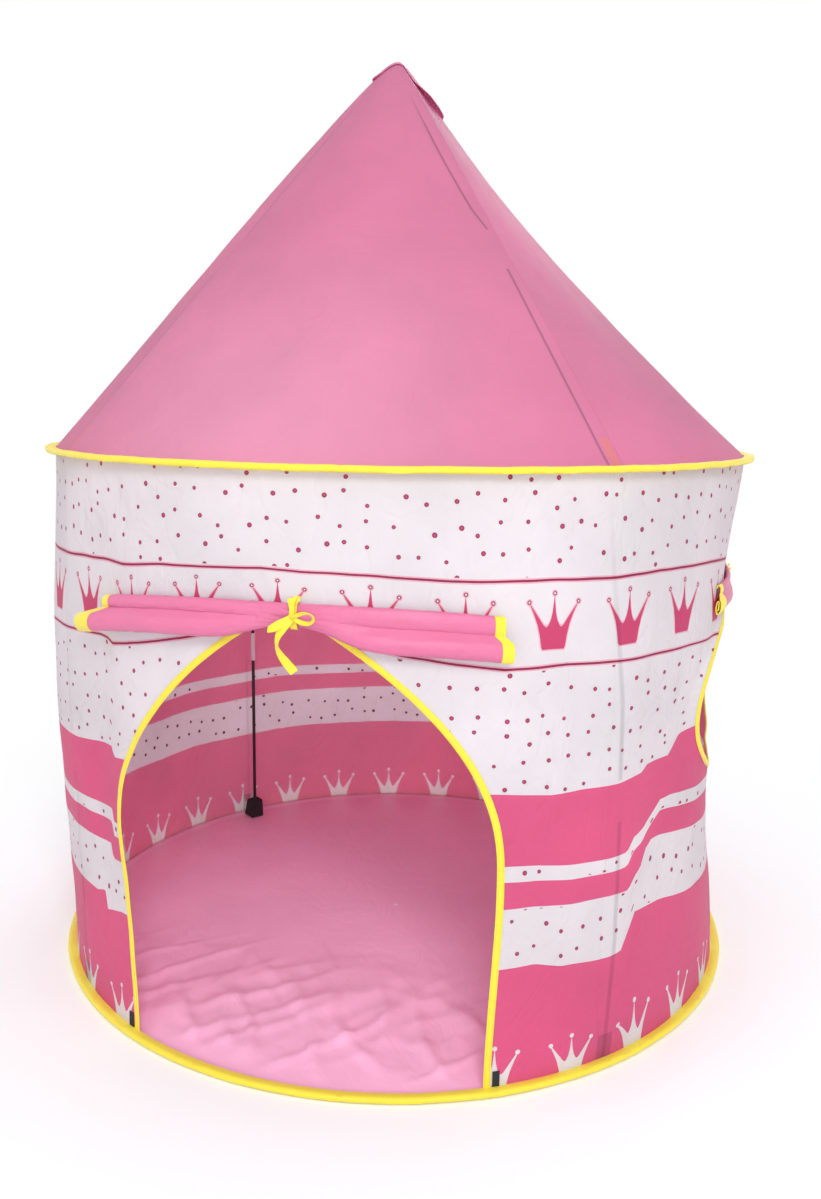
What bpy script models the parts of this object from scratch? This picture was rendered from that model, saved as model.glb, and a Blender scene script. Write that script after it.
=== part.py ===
"""A child's pop-up play tent: two sprung hoops in bound seams, four jointed poles that carry
printed cloth walls and a cone roof, an arched door and a window with rolled-up curtains."""

import math

import bmesh
import bpy
from mathutils import Matrix, Vector

# Driving sizes, in metres. Azimuth is in degrees from the door's middle (-Y) towards +X.
RING_RADIUS = 0.525
RING_HEIGHT = 0.763
APEX_HEIGHT = 1.319
APEX_LEAN = 0.012
LEAN_AZIMUTH = -75.5
BINDING_WIDTH = 0.014
CLOTH = 0.001
TAPE = 0.001
GAP = 0.0003
OVERRUN = 0.01

# Ring seams: the hoop lies in a folded tape that takes the turned-out edges of the cloth
HOOP_WIRE = 0.0036
RING_STEPS = 60
BINDING_HALF = HOOP_WIRE / 2 + GAP + TAPE
HOOP_RADIUS = RING_RADIUS - TAPE - GAP - HOOP_WIRE / 2
SEAM_RADIUS = HOOP_RADIUS - HOOP_WIRE / 2 - GAP
WALL_RADIUS = RING_RADIUS - BINDING_WIDTH
FLOOR_SEAM = BINDING_HALF
FLOOR_HEM = 0.006
WALL_BOTTOM = FLOOR_SEAM + GAP / 2 + CLOTH
WALL_TOP = RING_HEIGHT - GAP / 2 - CLOTH

# Poles: black rods joined by white sleeves, with an elbow at the ring and one hub on top
FRONT_POLE = 45
BACK_POLE = 129
POLE_AZIMUTHS = (FRONT_POLE, BACK_POLE, -BACK_POLE, -FRONT_POLE)
POLE_NAMES = ("front_right", "back_right", "back_left", "front_left")
POLE_INSET = 0.027
POLE_CIRCLE = WALL_RADIUS - POLE_INSET
ROD_DIAMETER = 0.006
SLEEVE_DIAMETER = 0.009
SLEEVE_LENGTH = 0.055
SLEEVE_STOP = 0.002
WALL_SLEEVE_SHARE = 0.4335
ROOF_SLEEVE_SHARE = 0.4639
ROD_SIDES = 8
ELBOW_DROP = 0.011
ELBOW_HEIGHT = RING_HEIGHT - ELBOW_DROP
ELBOW_ARM = 0.034
ELBOW_BORE = 0.024
ELBOW_BEND = 0.012
HUB_REACH = 0.026
HUB_ARM_LENGTH = 0.034
HUB_ARM_INSIDE = 0.012
HUB_BORE = 0.026
HUB_BOSS_DIAMETER = 0.036
HUB_BOSS_LENGTH = 0.022
HUB_CLEARANCE = 0.0077

# Foot pockets and the ties that hold the elbows to the ring seam
POCKET_WIDTH = 0.027
POCKET_HEIGHT = 0.037
POCKET_FRONT = 0.012
POCKET_FLOOR = 0.002
POCKET_BEVEL = 0.0025
TIE_HEIGHT = 0.010
TIE_WALL = 0.0012
TIE_DROP = 0.020

# Wall cloth
WALL_ROWS = 9
FOLD_DEPTH = 0.018
# Each fold: azimuth and reach in degrees, then middle and reach as shares of the wall's
# height, and its depth as a share of FOLD_DEPTH (below zero it stands out).
WALL_FOLD_SHARES = (
    (99, 15, 0.42, 0.30, 1.0),
    (98, 18, 0.80, 0.22, 0.9),
    (57, 6, 0.38, 0.22, 0.7),
    (-36, 5, 0.40, 0.32, 0.5),
    (-78, 16, 0.50, 0.30, -0.3),
    (-105, 10, 0.35, 0.25, 0.5),
    (165, 14, 0.40, 0.30, 0.6),
    (-159, 12, 0.55, 0.30, 0.4),
)

# Roof cloth: a cone with a rounded tip that draws in between the poles
TIP_ROUNDING = 0.012
ROOF_SPREAD_SHARE = WALL_RADIUS / math.sqrt(
    (APEX_HEIGHT - RING_HEIGHT + TIP_ROUNDING) ** 2 - TIP_ROUNDING**2)
TIP_HOLE = 0.006
HUB_TOP_DROP = math.hypot(
    (HUB_BOSS_DIAMETER / 2 + HUB_CLEARANCE) / ROOF_SPREAD_SHARE, TIP_ROUNDING) - TIP_ROUNDING
HUB_HEIGHT = APEX_HEIGHT - HUB_TOP_DROP - HUB_BOSS_LENGTH / 2
ROOF_SAG = 0.033
SAG_POWER = 0.7
GORE_SAG_SHARES = {"front": 0.3, "right": 1.0, "back": 0.5, "left": -0.2}
ROOF_ROW_SHARES = (0.0, 0.05, 0.18, 0.36, 0.54, 0.72, 0.86, 0.95, 0.985)
# The patch over the tip runs from a short end on the left to a long loose one on the right
CAP_AZIMUTH = 104
CAP_LEFT = 0.030
CAP_RIGHT = 0.064
CAP_FRONT = 0.010
CAP_BACK = 0.040
CAP_STANDOFF = 0.0026
CAP_LIFT = 0.006
CAP_LIFTED_SHARE = 0.43
CAP_COLUMNS = 18
CAP_ROWS = 8

# Door and window, measured straight across their middle, to the outer edge of the binding
EDGE_BAND = 0.009
EDGE_THICKNESS = 0.0026
DOOR_AZIMUTH = 0
DOOR_HALF_WIDTH = 0.249
DOOR_FOOT_HALF_WIDTH = 0.240
DOOR_SPRING_HEIGHT = 0.280
DOOR_TOP_HEIGHT = 0.610
DOOR_ARCH_POWER = 2.2
DOOR_POINT_POWER = 0.9
DOOR_ARCH_STEPS = 11
WINDOW_AZIMUTH = 87
WINDOW_HALF_WIDTH = 0.203
WINDOW_TOP_HEIGHT = 0.596
WINDOW_WIDE_HEIGHT = 0.430
WINDOW_BOTTOM_HEIGHT = 0.325
WINDOW_STEPS = 9
TAB_WIDTH = 0.008
TAB_TOP_HEIGHT = 0.028
TAB_INSET = 0.001

# Curtains rolled up and tied above the door and the window. Seen from its end a roll has a
# fold of cloth above and the roll itself below; the tie draws both into one.
ROLL_STANDOFF = 0.0012
ROLL_PITCH = 0.0035
ROLL_TURNS = 1.6
ROLL_STEPS = 22
ROLL_LEAD = 0.003
ROLL_DROOP_POWER = 2
FOLD_SHARE = 0.48
FOLD_DEPTH_SHARE = 0.64
FOLD_ROW_SHARE = 0.23
DOOR_ROLL_LEFT = -34.8
DOOR_ROLL_RIGHT = 28.6
DOOR_FOLD_LEFT = -30.0
DOOR_FOLD_RIGHT = 27.9
DOOR_KNOT = 1.5
DOOR_RAISED = 18
DOOR_ROLL_TOP = DOOR_TOP_HEIGHT + 0.0025
DOOR_DROOP_LEFT = 0.0205
DOOR_DROOP_RIGHT = 0.0114
DOOR_ROLL_TALL = 0.052
DOOR_ROLL_DEPTH = 0.024
WINDOW_ROLL_LEFT = 67.5
WINDOW_ROLL_RIGHT = 106.5
WINDOW_FOLD_LEFT = 68.3
WINDOW_FOLD_RIGHT = 105.7
WINDOW_KNOT = 87
WINDOW_RAISED = 180
WINDOW_ROLL_TOP = WINDOW_TOP_HEIGHT + 0.016
WINDOW_DROOP = 0.010
WINDOW_ROLL_TALL = 0.038
WINDOW_ROLL_DEPTH = 0.017
ROLL_END_LEFT = 0.020
ROLL_END_RIGHT = 0.014
FOLD_END = 0.012
PINCH_SHARE = 0.42
PINCH_FLAT = 1.2
PINCH_REACH = 9.5
TIE_SEAM = 0.006
TIE_STEPS = 13
RIBBON_WIDTH = 0.008
RIBBON = 0.0008
KNOT_SIZE = (0.011, 0.007, 0.010)
LOOP_LENGTH = 0.027
LOOP_TALL = 0.011
SHORT_TAIL = 0.034
SHORT_TAIL_DROP = 0.016
LONG_TAIL_OUT = 0.024
LONG_TAIL_DROP = 0.062

PINK = (0.80, 0.26, 0.43, 1)
PRINT_PINK = (0.86, 0.50, 0.60, 1)
YELLOW = (0.90, 0.70, 0.05, 1)
BLACK = (0.02, 0.02, 0.022, 1)
WHITE = (0.85, 0.85, 0.85, 1)
STEEL = (0.55, 0.56, 0.58, 1)


def clear_scene():
    for thing in list(bpy.data.objects):
        bpy.data.objects.remove(thing, do_unlink=True)


def collection(name):
    made = bpy.data.collections.new(name)
    bpy.context.scene.collection.children.link(made)
    return made


clear_scene()
TENT = collection("kids_play_tent")
CUTTERS = collection("cutters")


def material(name, colour, roughness=0.6, metallic=0.0):
    made = bpy.data.materials.get(name) or bpy.data.materials.new(name)
    made.use_nodes = True
    shader = made.node_tree.nodes["Principled BSDF"]
    shader.inputs["Base Color"].default_value = colour
    shader.inputs["Roughness"].default_value = roughness
    shader.inputs["Metallic"].default_value = metallic
    return made


ROOF_CLOTH = material("roof_taffeta", PINK)
WALL_CLOTH = material("printed_taffeta", PRINT_PINK)
FLOOR_CLOTH = material("floor_taffeta", PINK)
YELLOW_TAPE = material("yellow_tape", YELLOW, 0.5)
BLACK_ROD = material("black_rod", BLACK, 0.4)
BLACK_WEB = material("black_webbing", BLACK, 0.9)
WHITE_PLASTIC = material("white_plastic", WHITE, 0.35)
SPRING_STEEL = material("spring_steel", STEEL, 0.3, 1.0)


def outward(azimuth):
    angle = math.radians(azimuth)
    return Vector((math.sin(angle), -math.cos(angle), 0))


def tangent(azimuth):
    angle = math.radians(azimuth)
    return Vector((math.cos(angle), math.sin(angle), 0))


def at(azimuth, radius, height):
    return outward(azimuth) * radius + Vector((0, 0, height))


def facing(azimuth, radius, height):
    """Frame at the wall: local X runs round it, local Y up and local Z outwards."""
    turn = Matrix((tangent(azimuth), Vector((0, 0, 1)), outward(azimuth))).transposed()
    return Matrix.Translation(at(azimuth, radius, height)) @ turn.to_4x4()


# Objects


def finish(thing, finish_material, smooth=True):
    """Puts a new object in the tent's collection with its material and shading."""
    thing.data.materials.append(finish_material)
    if smooth:
        thing.data.shade_smooth()
        thing.data.set_sharp_from_angle(angle=math.radians(35))
    TENT.objects.link(thing)
    return thing


def mesh_object(name, shape):
    mesh = bpy.data.meshes.new(name)
    shape.to_mesh(mesh)
    shape.free()
    return bpy.data.objects.new(name, mesh)


def as_cutter(thing):
    for home in list(thing.users_collection):
        home.objects.unlink(thing)
    CUTTERS.objects.link(thing)
    thing.hide_render = True
    thing.display_type = "WIRE"
    return thing


def combine(thing, other, operation):
    """Cuts `other` from a piece, or joins it on, with an exact Boolean."""
    boolean = thing.modifiers.new(operation.lower() + "_" + other.name, "BOOLEAN")
    boolean.operation = operation
    boolean.solver = "EXACT"
    boolean.object = as_cutter(other)
    return thing


def sheet(name, columns, rows, place, finish_material, thickness=CLOTH, offset=-1):
    """Open grid whose corners `place(column, row)` sets, given its thickness by Solidify."""
    shape = bmesh.new()
    bmesh.ops.create_grid(shape, x_segments=columns, y_segments=rows, size=1)
    for corner in shape.verts:
        column = round((corner.co.x + 1) / 2 * columns)
        row = round((corner.co.y + 1) / 2 * rows)
        corner.co = place(column, row)
    bmesh.ops.remove_doubles(shape, verts=shape.verts, dist=GAP / 10)
    thing = mesh_object(name, shape)
    solid = thing.modifiers.new("thickness", "SOLIDIFY")
    solid.thickness = thickness
    solid.offset = offset
    solid.use_even_offset = True
    return finish(thing, finish_material)


def rod(name, start, end, diameter, finish_material, sides=ROD_SIDES):
    """Straight round bar between two points, its origin in the middle."""
    shape = bmesh.new()
    bmesh.ops.create_cone(
        shape, cap_ends=True, segments=sides, radius1=diameter / 2, radius2=diameter / 2,
        depth=(end - start).length)
    thing = mesh_object(name, shape)
    thing.location = (start + end) / 2
    thing.rotation_euler = (end - start).to_track_quat("Z", "Y").to_euler()
    return finish(thing, finish_material)


def bore(name, mouth, direction, depth, thing):
    """Cuts a rod's hole into a piece, `depth` deep from its mouth."""
    start = mouth - direction * OVERRUN
    end = mouth + direction * depth
    return combine(thing, rod(name, start, end, ROD_DIAMETER + 2 * GAP, BLACK_ROD), "DIFFERENCE")


def turned(name, profile, finish_material):
    """Closed or axis-ended profile of (radius, height) points, turned about the Z axis."""
    closed = profile[0][0] > 0
    shape = bmesh.new()
    corners = [shape.verts.new((radius, 0, height)) for radius, height in profile]
    for first, second in zip(corners, corners[1:]):
        shape.edges.new((first, second))
    if closed:
        shape.edges.new((corners[-1], corners[0]))
    thing = mesh_object(name, shape)
    thing.rotation_euler = (0, 0, math.radians(FRONT_POLE))
    screw = thing.modifiers.new("turn", "SCREW")
    screw.steps = RING_STEPS
    screw.render_steps = RING_STEPS
    screw.use_merge_vertices = True
    screw.merge_threshold = GAP / 10
    screw.use_normal_calculate = False
    return finish(thing, finish_material)


def wire(name, points, diameter, finish_material, resolution, closed=False):
    """Tube along straight runs between points."""
    line = bpy.data.curves.new(name, "CURVE")
    line.dimensions = "3D"
    line.bevel_depth = diameter / 2
    line.bevel_resolution = resolution
    line.use_fill_caps = True
    run = line.splines.new("POLY")
    run.points.add(len(points) - 1)
    for corner, point in zip(run.points, points):
        corner.co = (*point, 1)
    run.use_cyclic_u = closed
    return finish(bpy.data.objects.new(name, line), finish_material, smooth=False)


def plate(name, outlines, thickness, place, finish_material):
    """Flat plate of closed (x, y) outlines, set by the matrix `place`; later outlines are holes."""
    line = bpy.data.curves.new(name, "CURVE")
    line.dimensions = "2D"
    line.fill_mode = "BOTH"
    line.extrude = thickness / 2
    for outline in outlines:
        run = line.splines.new("POLY")
        run.points.add(len(outline) - 1)
        for corner, (x, y) in zip(run.points, outline):
            corner.co = (x, y, 0, 1)
        run.use_cyclic_u = True
    thing = bpy.data.objects.new(name, line)
    thing.matrix_world = place
    finish(thing, finish_material, smooth=False)
    return curve_to_mesh(thing)


def curve_to_mesh(thing):
    """The curve's mesh with its caps welded on, in the curve's place."""
    bpy.context.view_layer.update()
    graph = bpy.context.evaluated_depsgraph_get()
    mesh = bpy.data.meshes.new_from_object(thing.evaluated_get(graph))
    shape = bmesh.new()
    shape.from_mesh(mesh)
    bmesh.ops.remove_doubles(shape, verts=shape.verts, dist=GAP / 10)
    bmesh.ops.recalc_face_normals(shape, faces=shape.faces)
    shape.to_mesh(mesh)
    shape.free()
    name, place = thing.name, thing.matrix_world.copy()
    bpy.data.objects.remove(thing)
    made = bpy.data.objects.new(name, mesh)
    made.matrix_world = place
    TENT.objects.link(made)
    return made


# Shapes of the cloth


def wall_radius(azimuth, height):
    """Outer face of the wall: round, but for its folds, which die out at the two rings."""
    share = min(max((height - FLOOR_SEAM) / (RING_HEIGHT - FLOOR_SEAM), 0), 1)
    folded = 0
    for middle, reach, middle_share, reach_share, depth_share in WALL_FOLD_SHARES:
        aside = (azimuth - middle + 180) % 360 - 180
        across = math.exp(-((aside / reach) ** 2))
        along = math.exp(-(((share - middle_share) / reach_share) ** 2))
        folded += depth_share * across * along
    return WALL_RADIUS - FOLD_DEPTH * folded * 4 * share * (1 - share)


def wall_corner(column, row):
    """Corner of the cloth's facets, by ring step from the front right pole and by row."""
    azimuth = FRONT_POLE + column * 360 / RING_STEPS
    height = WALL_BOTTOM + (WALL_TOP - WALL_BOTTOM) * row / WALL_ROWS
    return at(azimuth, wall_radius(azimuth, height), height)


def on_wall(azimuth, height, out=0.0):
    """A point on the wall's facets, or off them by `out`."""
    column = (azimuth - FRONT_POLE) * RING_STEPS / 360
    row = (height - WALL_BOTTOM) / (WALL_TOP - WALL_BOTTOM) * WALL_ROWS
    left, low = math.floor(column), min(max(math.floor(row), 0), WALL_ROWS - 1)
    first = wall_corner(left, low).lerp(wall_corner(left + 1, low), column - left)
    second = wall_corner(left, low + 1).lerp(wall_corner(left + 1, low + 1), column - left)
    return first.lerp(second, row - low) + outward(azimuth) * out


def lean(height):
    """How far the roof's middle stands off the ring's at this height."""
    share = (height - RING_HEIGHT) / (APEX_HEIGHT - RING_HEIGHT)
    return outward(LEAN_AZIMUTH) * APEX_LEAN * max(share, 0)


def pole_side(azimuth):
    """The gore that an azimuth lies in: its name and its two poles' azimuths."""
    turned_on = (azimuth + FRONT_POLE) % 360 - FRONT_POLE
    if turned_on <= FRONT_POLE:
        return "front", -FRONT_POLE, FRONT_POLE
    if turned_on <= BACK_POLE:
        return "right", FRONT_POLE, BACK_POLE
    if turned_on <= 360 - BACK_POLE:
        return "back", BACK_POLE, 360 - BACK_POLE
    return "left", 360 - BACK_POLE, 360 - FRONT_POLE


def drop_to(radius):
    """How far below the tip the roof's cone has this radius."""
    return math.hypot(radius / ROOF_SPREAD_SHARE, TIP_ROUNDING) - TIP_ROUNDING


def roof_radius(azimuth, height):
    """Outer face of the roof from its own middle: the cone, less its sag between two poles."""
    down = APEX_HEIGHT - height
    cone = ROOF_SPREAD_SHARE * math.sqrt((down + TIP_ROUNDING) ** 2 - TIP_ROUNDING**2)
    side, first, last = pole_side(azimuth)
    across = math.sin(math.pi * (((azimuth - first) % 360) / (last - first)))
    share = max((height - RING_HEIGHT) / (APEX_HEIGHT - RING_HEIGHT), 0)
    along = max(math.sin(math.pi * share), 0) ** SAG_POWER
    return cone - ROOF_SAG * GORE_SAG_SHARES[side] * across * along


def on_roof(azimuth, height, out=0.0):
    """A point on the roof, moved out along the cone's own normal."""
    slope = math.hypot(1, ROOF_SPREAD_SHARE)
    point = lean(height) + at(azimuth, roof_radius(azimuth, height), height)
    normal = (outward(azimuth) + Vector((0, 0, ROOF_SPREAD_SHARE))) / slope
    return point + normal * out


def between(first, last, column, columns, radius):
    """Azimuth of a sheet's column, with half of the seam's gap left at each end."""
    margin = math.degrees(GAP / 2 / radius)
    return first + margin + (last - first - 2 * margin) * column / columns


# Ring seams


def ring_binding(name, middle):
    """Folded tape round the hoop, open inwards for the edges of the cloth."""
    lip = WALL_RADIUS + 2 * GAP
    inside = RING_RADIUS - TAPE
    room = BINDING_HALF - TAPE
    return turned(name, (
        (lip, middle + BINDING_HALF), (RING_RADIUS, middle + BINDING_HALF),
        (RING_RADIUS, middle - BINDING_HALF), (lip, middle - BINDING_HALF),
        (lip, middle - room), (inside, middle - room),
        (inside, middle + room), (lip, middle + room)), YELLOW_TAPE)


def ring_hoop(name, middle):
    turns = [FRONT_POLE + 360 * step / RING_STEPS for step in range(RING_STEPS)]
    points = [at(azimuth, HOOP_RADIUS, middle) for azimuth in turns]
    return wire(name, points, HOOP_WIRE, SPRING_STEEL, 0, closed=True)


def floor_sheet():
    """Ground sheet: flat on the floor, its hem raised into the lower ring's seam."""
    seam_top = FLOOR_SEAM - GAP / 2
    flat = WALL_RADIUS - FLOOR_HEM
    return turned("floor_sheet", (
        (0, CLOTH), (flat, CLOTH), (WALL_RADIUS, seam_top), (SEAM_RADIUS, seam_top),
        (SEAM_RADIUS, seam_top - CLOTH), (WALL_RADIUS, seam_top - CLOTH), (flat, 0), (0, 0)),
        FLOOR_CLOTH)


# Walls and roof


def wall_panel(name, first, last):
    """Printed wall between two poles, its edges turned out into the two ring seams."""
    columns = round((last - first) * RING_STEPS / 360)

    def place(column, row):
        if row in (0, WALL_ROWS + 2):
            azimuth = between(first, last, column, columns, SEAM_RADIUS)
            return at(azimuth, SEAM_RADIUS, WALL_TOP if row else WALL_BOTTOM)
        azimuth = between(first, last, column, columns, WALL_RADIUS)
        return on_wall(azimuth, WALL_BOTTOM + (WALL_TOP - WALL_BOTTOM) * (row - 1) / WALL_ROWS)

    return sheet(name, columns, WALL_ROWS + 2, place, WALL_CLOTH)


def roof_gore(name, first, last):
    """Roof cloth between two poles, from the ring's seam to the small hole under the cap."""
    columns = round((last - first) * RING_STEPS / 360)
    rows = len(ROOF_ROW_SHARES) + 1
    seam = RING_HEIGHT + GAP / 2
    tip = APEX_HEIGHT - drop_to(TIP_HOLE)

    def place(column, row):
        if row == 0:
            return at(between(first, last, column, columns, SEAM_RADIUS), SEAM_RADIUS, seam)
        if row == 1:
            return at(between(first, last, column, columns, WALL_RADIUS), WALL_RADIUS, seam)
        share = ROOF_ROW_SHARES[row - 1] if row < rows else 1
        height = seam + (tip - seam) * share
        radius = max(roof_radius((first + last) / 2, height), TIP_HOLE)
        azimuth = between(first, last, column, columns, radius)
        return on_roof(azimuth, height)

    return sheet(name, columns, rows, place, ROOF_CLOTH, offset=1)


def over_tip(along, across, out):
    """A point of the roof by its distances from the tip, moved out along the rounded cone."""
    radius = math.hypot(along, across)
    azimuth = CAP_AZIMUTH - math.degrees(math.atan2(across, along))
    height = APEX_HEIGHT - drop_to(radius)
    rounded = ROOF_SPREAD_SHARE * math.hypot(radius / ROOF_SPREAD_SHARE, TIP_ROUNDING)
    slope = radius / ROOF_SPREAD_SHARE / rounded
    normal = (outward(azimuth) * slope + Vector((0, 0, 1))).normalized()
    return lean(height) + at(azimuth, roof_radius(azimuth, height), height) + normal * out


def apex_cap():
    """Patch of roof cloth over the tip, its long end loose and lifted."""
    length, width = CAP_LEFT + CAP_RIGHT, CAP_FRONT + CAP_BACK

    def place(column, row):
        along = length * column / CAP_COLUMNS - CAP_LEFT
        across = width * row / CAP_ROWS - CAP_BACK
        loose = max(along / CAP_RIGHT - 1 + CAP_LIFTED_SHARE, 0) / CAP_LIFTED_SHARE
        return over_tip(along, across, CAP_STANDOFF + CAP_LIFT * loose)

    return sheet("apex_cap", CAP_COLUMNS, CAP_ROWS, place, ROOF_CLOTH)


# Door and window


def pointed_arch(half_width, spring, top, steps):
    """Right half of a pointed arch, as (across, height) points up to the top."""
    half = []
    for step in range(steps):
        share = math.sin(math.pi / 2 * step / steps)
        across = (1 - share**DOOR_ARCH_POWER) ** DOOR_POINT_POWER
        half.append((half_width * across, spring + (top - spring) * share))
    return half + [(0, top)]


def door_outline():
    """Outline of the door from its right foot over its top to its left foot."""
    half = [(DOOR_FOOT_HALF_WIDTH, 2 * BINDING_HALF + GAP)]
    half.append(((DOOR_FOOT_HALF_WIDTH + 2 * DOOR_HALF_WIDTH) / 3, DOOR_SPRING_HEIGHT / 2))
    half += pointed_arch(DOOR_HALF_WIDTH, DOOR_SPRING_HEIGHT, DOOR_TOP_HEIGHT, DOOR_ARCH_STEPS)
    return half + [(-across, height) for across, height in reversed(half[:-1])]


def window_outline():
    """Pointed arch above, round below."""
    half = []
    drop = WINDOW_WIDE_HEIGHT - WINDOW_BOTTOM_HEIGHT
    for step in range(WINDOW_STEPS):
        angle = math.pi / 2 * step / WINDOW_STEPS
        across = math.sin(angle) ** (2 / DOOR_ARCH_POWER)
        down = math.cos(angle) ** (2 / DOOR_ARCH_POWER)
        half.append((WINDOW_HALF_WIDTH * across, WINDOW_WIDE_HEIGHT - drop * down))
    half += pointed_arch(WINDOW_HALF_WIDTH, WINDOW_WIDE_HEIGHT, WINDOW_TOP_HEIGHT, WINDOW_STEPS)
    return half + [(-across, height) for across, height in reversed(half[1:-1])]


def inset_outline(outline, inset, closed):
    """The outline moved into the opening, square to its own run."""
    moved = []
    last = len(outline) - 1
    for index, point in enumerate(outline):
        if closed:
            before, after = outline[index - 1], outline[(index + 1) % len(outline)]
        else:
            before, after = outline[max(index - 1, 0)], outline[min(index + 1, last)]
        run = Vector((after[0] - before[0], after[1] - before[1])).normalized()
        across = point[0] - run.y * inset
        height = point[1] + run.x * inset
        if not closed and index in (0, last):
            height = point[1]
        moved.append((across, height))
    return moved


def through_wall(azimuth, across, height, out):
    """The wall point that lies `across` from the plane through this azimuth."""
    aside = math.asin(across / WALL_RADIUS)
    for _ in range(6):
        reached = on_wall(azimuth + math.degrees(aside), height).dot(tangent(azimuth))
        aside += (across - reached) / WALL_RADIUS
    return on_wall(azimuth + math.degrees(aside), height, out)


def cut_opening(panel, name, azimuth, outline):
    cutter = plate(name, [outline], WALL_RADIUS, facing(azimuth, WALL_RADIUS, 0), YELLOW_TAPE)
    return combine(panel, cutter, "DIFFERENCE")


def edge_band(name, azimuth, outline, closed):
    """Tape that closes the cut edge of an opening, centred on the cloth's thickness."""
    outer = inset_outline(outline, GAP, closed)
    inner = inset_outline(outline, EDGE_BAND, closed)
    steps = len(outline) if closed else len(outline) - 1

    def place(column, row):
        across, height = (outer, inner)[row][column % len(outline)]
        return through_wall(azimuth, across, height, -CLOTH / 2)

    return sheet(name, steps, 1, place, YELLOW_TAPE, thickness=EDGE_THICKNESS, offset=0)


def door_tab(name, side):
    """Webbing tab sewn on the wall beside the door's foot, down to the lower ring."""
    middle = side * (DOOR_FOOT_HALF_WIDTH + 2 * TAB_INSET + TAB_WIDTH / 2)
    low = 2 * BINDING_HALF + GAP

    def place(column, row):
        across = middle + (column - 0.5) * TAB_WIDTH
        aside = math.degrees(math.asin(across / WALL_RADIUS))
        height = low + (TAB_TOP_HEIGHT - low) * row
        return on_wall(DOOR_AZIMUTH + aside, height, CLOTH + GAP)

    return sheet(name, 1, 1, place, BLACK_WEB)


# Rolled curtains


class Roll:
    """Where one rolled curtain lies: ends and knot in degrees, sizes in metres. Its seam is
    raised, over the opening's tape or a fold, up to `raised` degrees from the front."""

    def __init__(self, ends, fold_ends, knot, raised, top, droops, tall, deep):
        self.ends, self.fold_ends, self.knot, self.raised = ends, fold_ends, knot, raised
        self.top, self.droops, self.tall, self.deep = top, droops, tall, deep

    def drawn(self, azimuth):
        """How much the tie draws the roll together here, 1 at the knot."""
        aside = max(abs(azimuth - self.knot) - PINCH_FLAT, 0)
        return math.exp(-((aside / PINCH_REACH) ** 2))

    def pinch(self, azimuth):
        return 1 - PINCH_SHARE * self.drawn(azimuth)

    def top_height(self, azimuth):
        side = 0 if azimuth < self.knot else 1
        reach = abs(self.ends[side] - self.knot)
        return self.top - self.droops[side] * (
            abs(azimuth - self.knot) / reach) ** ROLL_DROOP_POWER

    def halves(self, azimuth):
        """Half depth and half height of the roll's section."""
        return self.deep / 2 * self.pinch(azimuth), self.tall / 2 * self.pinch(azimuth)

    def section(self, azimuth, share):
        """Distance from the wall and height of the cloth's section, from its outer end in."""
        deep, tall = self.halves(azimuth)
        top = self.top_height(azimuth)
        inwards = ROLL_PITCH * ROLL_TURNS * share * self.pinch(azimuth) + CLOTH
        turn = math.radians(125 - 360 * ROLL_TURNS * share)
        drawn = Vector(((deep - inwards) * math.cos(turn) + ROLL_STANDOFF + deep,
                        (tall - inwards) * math.sin(turn) + top - tall))
        if share < FOLD_ROW_SHARE:
            half_deep, half_tall = deep * FOLD_DEPTH_SHARE, tall * FOLD_SHARE
            angle = math.radians(125 - 180 * share / FOLD_ROW_SHARE)
            middle = top - half_tall
        else:
            half_deep, half_tall = deep, tall * (1 - FOLD_SHARE)
            rolled = (share - FOLD_ROW_SHARE) / (1 - FOLD_ROW_SHARE)
            angle = math.radians(70 - (360 * ROLL_TURNS - 55) * rolled)
            middle = top - 2 * tall + half_tall
            inwards = ROLL_PITCH * ROLL_TURNS * rolled + CLOTH
        loose = Vector(((half_deep - inwards) * math.cos(angle) + ROLL_STANDOFF + half_deep,
                        (half_tall - inwards) * math.sin(angle) + middle))
        return loose.lerp(drawn, self.drawn(azimuth))

    def point(self, azimuth, row):
        """A corner of the cloth: two rows by which it hangs from its seam, then its section."""
        if row < 2:
            height = self.top_height(azimuth) - self.tall / 8 + ROLL_LEAD * row
            over = min(max(self.raised - azimuth, 0) / 6, 1)
            seat = CLOTH + 1.5 * GAP + over * (EDGE_THICKNESS - CLOTH) / 2
            return on_wall(azimuth, height, seat + GAP * row)
        out, height = self.section(azimuth, (row - 2) / ROLL_STEPS)
        return on_wall(azimuth, height, out)

    def limit(self, side, row):
        """Azimuth of the roll's end at this row: the fold above is the shorter part."""
        share = min(max(((row - 2) / ROLL_STEPS - FOLD_ROW_SHARE) / 0.1, 0), 1)
        return self.fold_ends[side] + (self.ends[side] - self.fold_ends[side]) * share

    def tape(self, side, row):
        """Degrees of the roll's end that its tape covers."""
        share = min(max(((row - 2) / ROLL_STEPS - FOLD_ROW_SHARE) / 0.1, 0), 1)
        width = FOLD_END + ((ROLL_END_LEFT, ROLL_END_RIGHT)[side] - FOLD_END) * share
        return math.degrees(width / WALL_RADIUS)


def rolled_cloth(name, roll, columns, finish_material):
    """Rolled sheet between columns that are azimuths, or functions of the row."""
    def place(column, row):
        azimuth = columns[column]
        return roll.point(azimuth(row) if callable(azimuth) else azimuth, row)

    return sheet(name, len(columns) - 1, ROLL_STEPS + 2, place, finish_material)


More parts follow.
